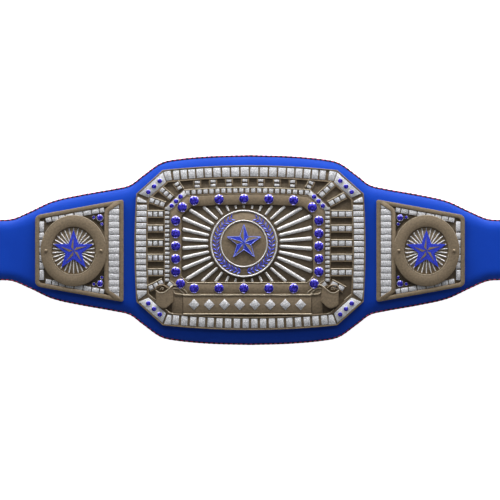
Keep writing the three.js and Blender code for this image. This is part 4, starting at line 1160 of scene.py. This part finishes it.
def make_star(name, node, weights, outlined):
    low, high = box_of(node)
    radius = (high.x - low.x) / 2 / math.cos(math.pi / 10)
    centre = ((low.x + high.x) / 2, high.y - radius)
    corners = star_corners(centre, radius)
    brim, peak = low.z + 1.3, high.z - 0.5
    body = make_piece(f"{name}_enamel", [star_body(corners, centre, low.z, brim, peak)],
                      blue_enamel, bevel=0.12, smooth_angle=10)
    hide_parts(node)
    make_piece(f"{name}_bronze", star_fields(corners, centre, brim, peak, weights, 0.2),
               bronze, smooth_angle=10)
    if outlined:
        lines = []
        hub = (*centre, peak)
        for i in range(10):
            here, there = (*corners[i], brim), (*corners[(i + 1) % 10], brim)
            lines.append(rod([here, there], 0.42, 6))
            lines.append(rod([here, mix(here, hub, 0.9)], 0.3, 6))
        make_piece(f"{name}_lines", lines, pale_enamel, smooth_angle=60)


make_star("main_star", "main_star", [(0.9, 0.06, 0.04), (0.03, 0.92, 0.05), (0.05, 0.08, 0.87)],
          True)
for word in ("left", "right"):
    make_star(f"side_star_{word}", f"side_star_{word}",
              [(0.96, 0.03, 0.01), (0.33, 0.66, 0.01), (0.49, 0.02, 0.49)], False)

# %% [markdown]
# ## Banner
# The scroll's panel is sunk between two bright lips and folds back behind itself at each end
# before it rolls up. Each roll is a skin stretched between an upper and a lower line, bulged
# like a barrel. A row of silver lozenges stands where a title would be.

# %% Banner panel
banner_low, banner_high = box_of("banner")
banner_back = banner_low.z
panel_left, panel_right = frame_middle_x - 80.1, frame_middle_x + 80.1
panel_top = frame_low.y - 0.3
panel_bottom = panel_top - 25.6
panel_z = banner_back + 1.7


def box_outline(x0, y0, x1, y1):
    return [(x0, y0), (x1, y0), (x1, y1), (x0, y1)]


banner_shells = [slab(box_outline(panel_left, panel_bottom, panel_right, panel_top),
                      banner_back, panel_z)]
lip_rods = [rod([(panel_left, y, panel_z + 0.2), (panel_right, y, panel_z + 0.2)], 0.75, 10)
            for y in (panel_bottom + 0.9, panel_top - 0.9)]

# %% Rolled ends, drawn for the left and turned over for the right
roll_top = [(-117.9, -50.1), (-114.1, -52.75), (-111.5, -53.6), (-106.75, -52.75),
            (-102.75, -49.6), (-99.6, -46.8), (-96.4, -44.6)]
roll_bottom = [(-117.3, -68), (-114.5, -70.5), (-111.5, -72), (-106.75, -72.9), (-102.75, -71.1),
               (-99.6, -68.1), (-96.1, -64.6)]
fold_line = [(-96.4, -44.6), (-94.9, -43.75), (-91.4, -44), (-87, -46.1), (-83.5, -49.25),
             (-79.9, -51.9), (-78.5, -54.5)]
second_line = [(-96.1, -48), (-91.8, -47.9), (-87.4, -50.1), (-82, -54.9)]
third_line = [(-95.2, -50.6), (-94.9, -53.1), (-91.8, -54.9), (-86.5, -55.3), (-82.1, -55.4)]
back_wall = [(-118.4, -49.4), (-116.5, -45.6), (-111.9, -43.6), (-107, -44.6), (-103.1, -47.9)]
small_curl = [(-112.5, -49.8), (-110.5, -47), (-108.3, -47.4), (-108.6, -49), (-110, -48.8)]


def catmull_rom(a, b, c, d, t):
    return tuple(0.5 * (2 * q + (r - p) * t + (2 * p - 5 * q + 4 * r - s) * t * t
                        + (3 * q - p - 3 * r + s) * t ** 3) for p, q, r, s in zip(a, b, c, d))


def smooth_line(points, steps=5):
    """A curve through the points."""
    line = []
    last = len(points) - 1
    for i in range(last):
        window = [points[min(max(k, 0), last)] for k in (i - 1, i, i + 1, i + 2)]
        line += [catmull_rom(*window, step / steps) for step in range(steps)]
    return [*line, points[-1]]


def turn_over(points, side):
    return points if side < 0 else [(2 * frame_middle_x - p[0], *p[1:]) for p in points]


def barrel(top, bottom, low, high, steps=8):
    """A skin between two lines that bulges between its ends, closed at the back."""
    columns = len(top)
    x0, x1 = top[0][0], top[-1][0]
    points, faces = [], []
    for a, b in zip(top, bottom):
        share = (a[0] - x0) / (x1 - x0)
        swell = math.sin(math.pi * min(max(share * 0.92 + 0.04, 0), 1)) ** 0.6
        for s in range(steps + 1):
            points.append((*mix(a, b, s / steps), low + (high - low) * swell))
    back = len(points)
    for a, b in zip(top, bottom):
        points += [(*a, banner_back), (*b, banner_back)]
    row = steps + 1
    for c in range(columns - 1):
        for s in range(steps):
            p = c * row + s
            faces.append((p, p + 1, p + row + 1, p + row))
        q = back + 2 * c
        faces += [(q, c * row, (c + 1) * row, q + 2),
                  (q + 1, q + 3, (c + 1) * row + steps, c * row + steps),
                  (q, q + 2, q + 3, q + 1)]
    end = (columns - 1) * row
    faces.append((back, back + 1, *[s for s in range(steps, -1, -1)]))
    faces.append((back + 2 * (columns - 1) + 1, back + 2 * (columns - 1),
                  *[end + s for s in range(steps + 1)]))
    return points, faces


roll_z = banner_high.z - 0.5
for side in (-1, 1):
    tops = smooth_line(roll_top)
    bottoms = smooth_line(roll_bottom)
    fold = [(-97.5, panel_bottom + 1), (panel_left - 0.6, panel_bottom - 0.4),
            (panel_left - 0.6, -52.5), (-88, -48.5), (-94, -46), (-97.5, -47.5)]
    backing = [(-97.4, -46), (-96, -62), (-84, -62), (-79.5, -54.8), (-80.5, -51),
               (-87, -45.8), (-92, -43.8), (-96.5, -44.2)]
    for outline, top_z in ((fold, panel_z - 0.5), (backing, panel_z - 0.9)):
        banner_shells.append(slab(turn_over(outline, side), banner_back, top_z))
    barrel_points, barrel_faces = barrel(tops, bottoms, panel_z - 0.4, roll_z)
    banner_shells.append((turn_over(barrel_points, side), barrel_faces))
    wall = [(x, y, panel_z - 0.4) for x, y in smooth_line(back_wall)]
    banner_shells.append(rod(turn_over(wall, side), 0.75, squash=1.6))
    # The bright rod along each roll's top line, with none along its bottom line, is a painted
    # highlight.
    for line, z0, z1, radius in ((tops, panel_z + 0.3, roll_z, 0.5),
                                 (smooth_line(fold_line), panel_z + 1.2, panel_z + 0.6, 0.5),
                                 (smooth_line(second_line), panel_z + 0.2, panel_z + 0.1, 0.45),
                                 (smooth_line(third_line), panel_z + 0.4, panel_z + 0.3, 0.5),
                                 (smooth_line(small_curl), panel_z, panel_z + 0.2, 0.4)):
        path = []
        for i, (x, y) in enumerate(line):
            share = i / (len(line) - 1)
            height = math.sin(math.pi * share) ** 0.6 if line is tops else share
            path.append((x, y, z0 + (z1 - z0) * height))
        lip_rods.append(rod(turn_over(path, side), radius))
banner = make_piece("banner_scroll", banner_shells, bronze, bevel=0.25, smooth_angle=40)
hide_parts("banner")
make_piece("banner_lips", lip_rods, bright_bronze, smooth_angle=60)

# %% Lozenges
lozenge = ([(0.5, 0, 0), (0, 0.5, 0), (-0.5, 0, 0), (0, -0.5, 0), (0.5, 0, 0.4), (0, 0.5, 0.4),
            (-0.5, 0, 0.4), (0, -0.5, 0.4), (0, 0, 1)],
           [(3, 2, 1, 0), (0, 1, 5, 4), (1, 2, 6, 5), (2, 3, 7, 6), (3, 0, 4, 7), (4, 5, 8),
            (5, 6, 8), (6, 7, 8), (7, 4, 8)])
panel_y = (panel_top + panel_bottom) / 2
lozenge_count, lozenge_size = 8, (13.5, 14.0, 1.3)
lozenge_pitch = (panel_right - panel_left - 8) / lozenge_count
lozenge_rows = [(frame_middle_x + (k - (lozenge_count - 1) / 2) * lozenge_pitch, panel_y,
                 panel_z - 0.1, 0, lozenge_size) for k in range(lozenge_count)]
copies("banner_lozenges", [lozenge], lozenge_rows, silver, bevel=0.15)

# %% [markdown]
# ## Corner settings
# A silver plate with three stones closes each corner of the outer band, and two more sit at
# the frame's upper corners. Every small stone stands in a bright cup.

# %% Corner settings
tile_line = inset(plate_edge, 2.2)
inner_tile_line = inset(plate_edge, 14.0)
small_tile_line = inset(small_edge, 0.9)
inner_small_line = inset(small_edge, 6.8)
# radius and pitch of the stones in a plate
corner_stones, inner_stones = (2.95, 9.9), (2.9, 7.9)


def shorter(quad):
    """A corner plate that leaves room for the slanted tiles at its ends."""
    a, b, c, d = quad
    return [mix(a, b, 0.035), mix(b, a, 0.035), mix(c, d, 0.07), mix(d, c, 0.07)]


settings = [(shorter(band_corner(tile_line, inner_tile_line, side)), name, *corner_stones)
            for side, name in enumerate(("corner_bar_lower_right", "corner_bar_upper_right",
                                         "corner_bar_upper_left", "corner_bar_lower_left"))]
settings += [(band_corner(small_tile_line, inner_small_line, side), name, *inner_stones)
             for side, name in ((1, "inner_setting_right"), (2, "inner_setting_left"))]
setting_shells, setting_stones, setting_cups = [], [], []
setting_low = plate_back + 3.5
for outline, name, radius, pitch in settings:
    setting_shells.append(slab(outline, setting_low, setting_low + 1.0))
    outer_mid, inner_mid = mix(outline[0], outline[1], 0.5), mix(outline[3], outline[2], 0.5)
    middle = mix(outer_mid, inner_mid, 0.5)
    along = left_normal(inner_mid, outer_mid)
    for step in (-1, 0, 1):
        x, y = middle[0] + along[0] * step * pitch, middle[1] + along[1] * step * pitch
        setting_stones.append((x, y, setting_low + 0.9, 0.3 * step,
                               (radius, radius, radius * CROWN)))
        setting_cups.append((x, y, setting_low + 0.9, 0, (radius + 0.05, radius + 0.05, 0.5)))
setting_plates = make_piece("corner_settings", setting_shells, silver, bevel=TILE_BEVEL)
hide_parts(*[name for _, name, _, _ in settings])

# %% [markdown]
# ## Side plates
# Two smaller castings mirror each other. Each is a bordered field with a wide column of tiles
# next to the main plate, a bracket beside it, and an oval disc with a sunk, rayed star.

# %% Side plate outlines
side_low, side_high = ([v / MM for v in corner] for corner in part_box("side_plate_right"))
side_start, side_lift = side_low[0], (side_low[1] + side_high[1]) / 2
side_width = side_outer_edge - side_start
side_half_inner = (side_high[1] - side_low[1]) / 2
side_half_outer = side_half_inner - 0.1765 * side_width
field_corners = [(0, -side_half_inner - 0.5), (side_width, -side_half_outer),
                 (side_width, side_half_outer), (0, side_half_inner + 0.5)]


def rounded(corners, radii, steps=8):
    """Corners rounded to their own radii."""
    outline = []
    for i, corner in enumerate(corners):
        before, after = corners[i - 1], corners[(i + 1) % len(corners)]
        start = mix(corner, before, radii[i] / math.dist(corner, before))
        end = mix(corner, after, radii[i] / math.dist(corner, after))
        outline += [mix(mix(start, corner, s / steps), mix(corner, end, s / steps), s / steps)
                    for s in range(steps + 1)]
    return outline


def on_side(outline, side):
    """From a side plate's own place, next to the main plate and half way up, to the belt's."""
    return [(side * (side_start + x), side_lift + y) for x, y in outline]


def arc(centre, half_width, half_height, start, end, z, steps=40):
    """Points of an oval's arc between two angles in degrees."""
    turns = [math.radians(start + (end - start) * i / steps) for i in range(steps + 1)]
    return [(centre[0] + half_width * math.cos(turn), centre[1] + half_height * math.sin(turn), z)
            for turn in turns]


disc_box = box_of("side_disc_right")
disc_half = ((disc_box[1].x - disc_box[0].x) / 2, (disc_box[1].y - disc_box[0].y) / 2)
disc_z = (disc_box[0].z, disc_box[1].z)
window_share = 0.67
disc_field_z = disc_z[0] + 1.2
edge_slope = (side_half_inner + 0.5 - side_half_outer) / side_width


def upper_edge(x):
    return side_half_inner + 0.5 - edge_slope * x


border_cells = [(24.6, 29.4), (31.3, 39.2), (41, 49.9), (51.6, 60.9), (62.8, 71.9),
                (73.6, 80.6), (82.2, 89.1), (90.8, 97.2)]
border_inset, border_cell_width, border_overlap = 8.6, 5.8, 0.7
end_inset, end_cell_width, side_cell_rise = 8.2, 5.6, 1.9
column_x, column_count, column_pitch, column_tile = 12, 13, 8.1, (13.0, 7.4, 2.0)
side_ray_count, side_ray_start, side_ray_width = 30, 9.0, 1.6
end_cells = [(36.6, 24), (22.5, 14.8), (13.4, 5.2), (3.8, -3.8), (-5.2, -13.4), (-14.8, -22.5),
             (-24, -36.6)]

# %% Side plates
trio_stones, trio_cups = [], []
for side, word in ((-1, "left"), (1, "right")):
    edge = rounded(field_corners, [4, 7, 7, 4])
    field = rounded(inset(field_corners, 5.2), [1.2, 3, 3, 1.2])
    half_bracket = [(24, 46.8), (22.7, 52), (11, 61.8), (4.6, 61.2), (4.6, 58.2), (17.4, 50),
                    (18.8, 46)]
    bracket = [*half_bracket, *[(x, -y) for x, y in half_bracket[::-1]]]
    shells = [
        slab(on_side(edge, side), plate_back, floor_z),
        band(on_side(edge, side), on_side(field, side), floor_z - 0.2, rim_z),
        slab(on_side(bracket, side), floor_z - 0.2, rim_z + 0.1),
    ]
    casting = make_piece(f"side_casting_{word}", shells, bronze, bevel=0.5)
    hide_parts(f"side_plate_{word}")

    turn = math.atan(edge_slope)
    rows = []
    for y_sign in (-1, 1):
        for a, b in border_cells:
            x = (a + b) / 2
            y = y_sign * (upper_edge(x) - border_inset)
            rows.append((side * (side_start + x), side_lift + y, floor_z - 0.1,
                         -side * y_sign * turn,
                         (b - a + border_overlap, border_cell_width, side_cell_rise)))
    for top, bottom in end_cells:
        rows.append((side * (side_start + side_width - end_inset),
                     side_lift + (top + bottom) / 2, floor_z - 0.1, 0,
                     (end_cell_width, top - bottom, side_cell_rise)))
    for k in range(column_count):
        y = (k - (column_count - 1) / 2) * column_pitch
        rows.append((side * (side_start + column_x), side_lift + y, floor_z - 0.1, 0,
                     column_tile))
    copies(f"side_tiles_{word}", [unit_block], rows, silver, bevel=TILE_BEVEL)
    ends = []
    for y_sign in (-1, 1):
        end = [(5.8, y_sign * 53.2), (13.4, y_sign * 53.2), (5.8, y_sign * 58)]
        ends.append(slab(on_side(end, side), floor_z - 0.1, tile_z))
    make_piece(f"side_end_tiles_{word}", ends, silver, bevel=TILE_BEVEL)

    centre = middle_of(f"side_disc_{word}")[:2]
    outer = ellipse(centre, *disc_half)
    window = ellipse(centre, disc_half[0] * window_share, disc_half[1] * window_share)
    disc = make_piece(f"side_oval_{word}", [
        band(outer, window, disc_z[0], disc_z[1]),
        slab(ellipse(centre, disc_half[0] * 0.7, disc_half[1] * 0.7), disc_z[0], disc_field_z),
    ], bronze, bevel=0.5)
    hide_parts(f"side_disc_{word}")
    # Painted highlights: bright arcs only on the window's lower edge and the oval's upper edge, the
    # edges that face the key light.
    near = [half * window_share + 0.3 for half in disc_half]
    far = [half - 0.5 for half in disc_half]
    make_piece(f"side_oval_lips_{word}", [
        rod(arc(centre, *near, 190, 350, disc_z[1] - 0.15), 0.4, 6),
        rod(arc(centre, *far, 15, 165, disc_z[1] - 0.2), 0.35, 6),
    ], bright_bronze, smooth_angle=60)
    sun_rays(f"side_rays_{word}", centre, side_ray_count, 1.0, side_ray_start,
             lambda angle, w=window, c=centre: reach_to(w, c, angle) - 1.0,
             side_ray_width, 0, disc_field_z - 0.1, 0.7, 0.75)
    trio_shells = []
    for y_sign in (-1, 1):
        for x, y, radius in ((29.6, 41.2, 3.7), (37.4, 41.6, 1.9), (27.4, 33.4, 1.9)):
            place = (side * (side_start + x), side_lift + y_sign * y, floor_z + 0.6)
            trio_stones.append((*place, 0.2, (radius, radius, radius * CROWN)))
            trio_cups.append((*place, 0, (radius + 0.05, radius + 0.05, 0.5)))
        seat = [(24.2, 44.8), (24.2, 24.5), (28, 29), (34, 35.5), (43.5, 41)]
        seat = on_side([(x, y * y_sign) for x, y in seat], side)
        trio_shells.append(slab(seat, floor_z + 0.2, floor_z + 0.7))
    trio = make_piece(f"trio_seats_{word}", trio_shells, black_bronze, bevel=0.2)
    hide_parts(f"stone_trio_{word}_lower", f"stone_trio_{word}_upper")

# %% Small stones and cups
copies("small_stones", [brilliant()], setting_stones + trio_stones, glass,
       smooth_angle=1)
copies("small_stone_cups", [cup()], setting_cups + trio_cups, ray_silver,
       smooth_angle=60)

# %% [markdown]
# ## Screws and studs
# Two domed screw heads hold each disc, and four press studs on each tail close the belt.
# Both are turned forms, copied to where the solid model has them.

# %% Screw heads
screw_names = [f"side_screw_{word}_{end}" for word in ("left", "right") for end in "ab"]
dome = lathe([(0, 0), (1, 0), (1, 0.25), (0.86, 0.62), (0.55, 0.88), (0, 1)], 24)
screw_radius = 2.0
screw_rows = []
for name in screw_names:
    low, high = box_of(name)
    screw_rows.append(((low.x + high.x) / 2, (low.y + high.y) / 2, low.z - 0.3, 0,
                       (screw_radius, screw_radius, high.z - low.z + 0.2)))
screws = copies("side_screw_heads", [dome], screw_rows, bronze)
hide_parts(*screw_names)

# %% Press studs
stud_names = [f"press_stud_{word}_{n}{row}" for word in ("left", "right") for n in "12"
              for row in "ab"]
stud_profile = [(0, 0), (1, 0), (1.02, 0.08), (0.96, 0.2), (0.62, 0.3), (0.46, 0.36),
                (0.46, 0.55), (0.52, 0.78), (0.5, 0.94), (0.42, 1), (0.24, 0.96), (0, 0.86)]
stud_radius = 7.3
stud_rows = []
for name in stud_names:
    low, high = box_of(name)
    stud_rows.append(((low.x + high.x) / 2, (low.y + high.y) / 2, low.z - 0.3, 0,
                      (stud_radius, stud_radius, high.z - low.z + 0.3)))
studs = copies("press_studs", [lathe(stud_profile, 32)], stud_rows, nickel)
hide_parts(*stud_names)

# %% [markdown]
# ## Floor
# The photograph has a pure white ground without a shadow. A pale floor that glows a little
# comes close and still shows that the belt lies on something.

# %% Floor
paper, paper_tree, paper_shader = new_material("white paper", 0.0, 0.9)
paper_glow = 0.95
fibre = noise(paper_tree, 40.0)
paper_tree.links.new(
    mix_colour(paper_tree, fibre, (0.93, 0.93, 0.93, 1), (0.95, 0.95, 0.95, 1)),
    paper_shader.inputs["Base Color"])
paper_shader.inputs["Emission Color"].default_value = (1, 1, 1, 1)
paper_shader.inputs["Emission Strength"].default_value = paper_glow
floor_mesh = bpy.data.meshes.new("floor")
floor_mesh.from_pydata([(-4, -4, -0.0004), (4, -4, -0.0004), (4, 4, -0.0004), (-4, 4, -0.0004)],
                       [], [(0, 1, 2, 3)])
floor_mesh.materials.append(paper)
floor = add_object("floor", floor_mesh)
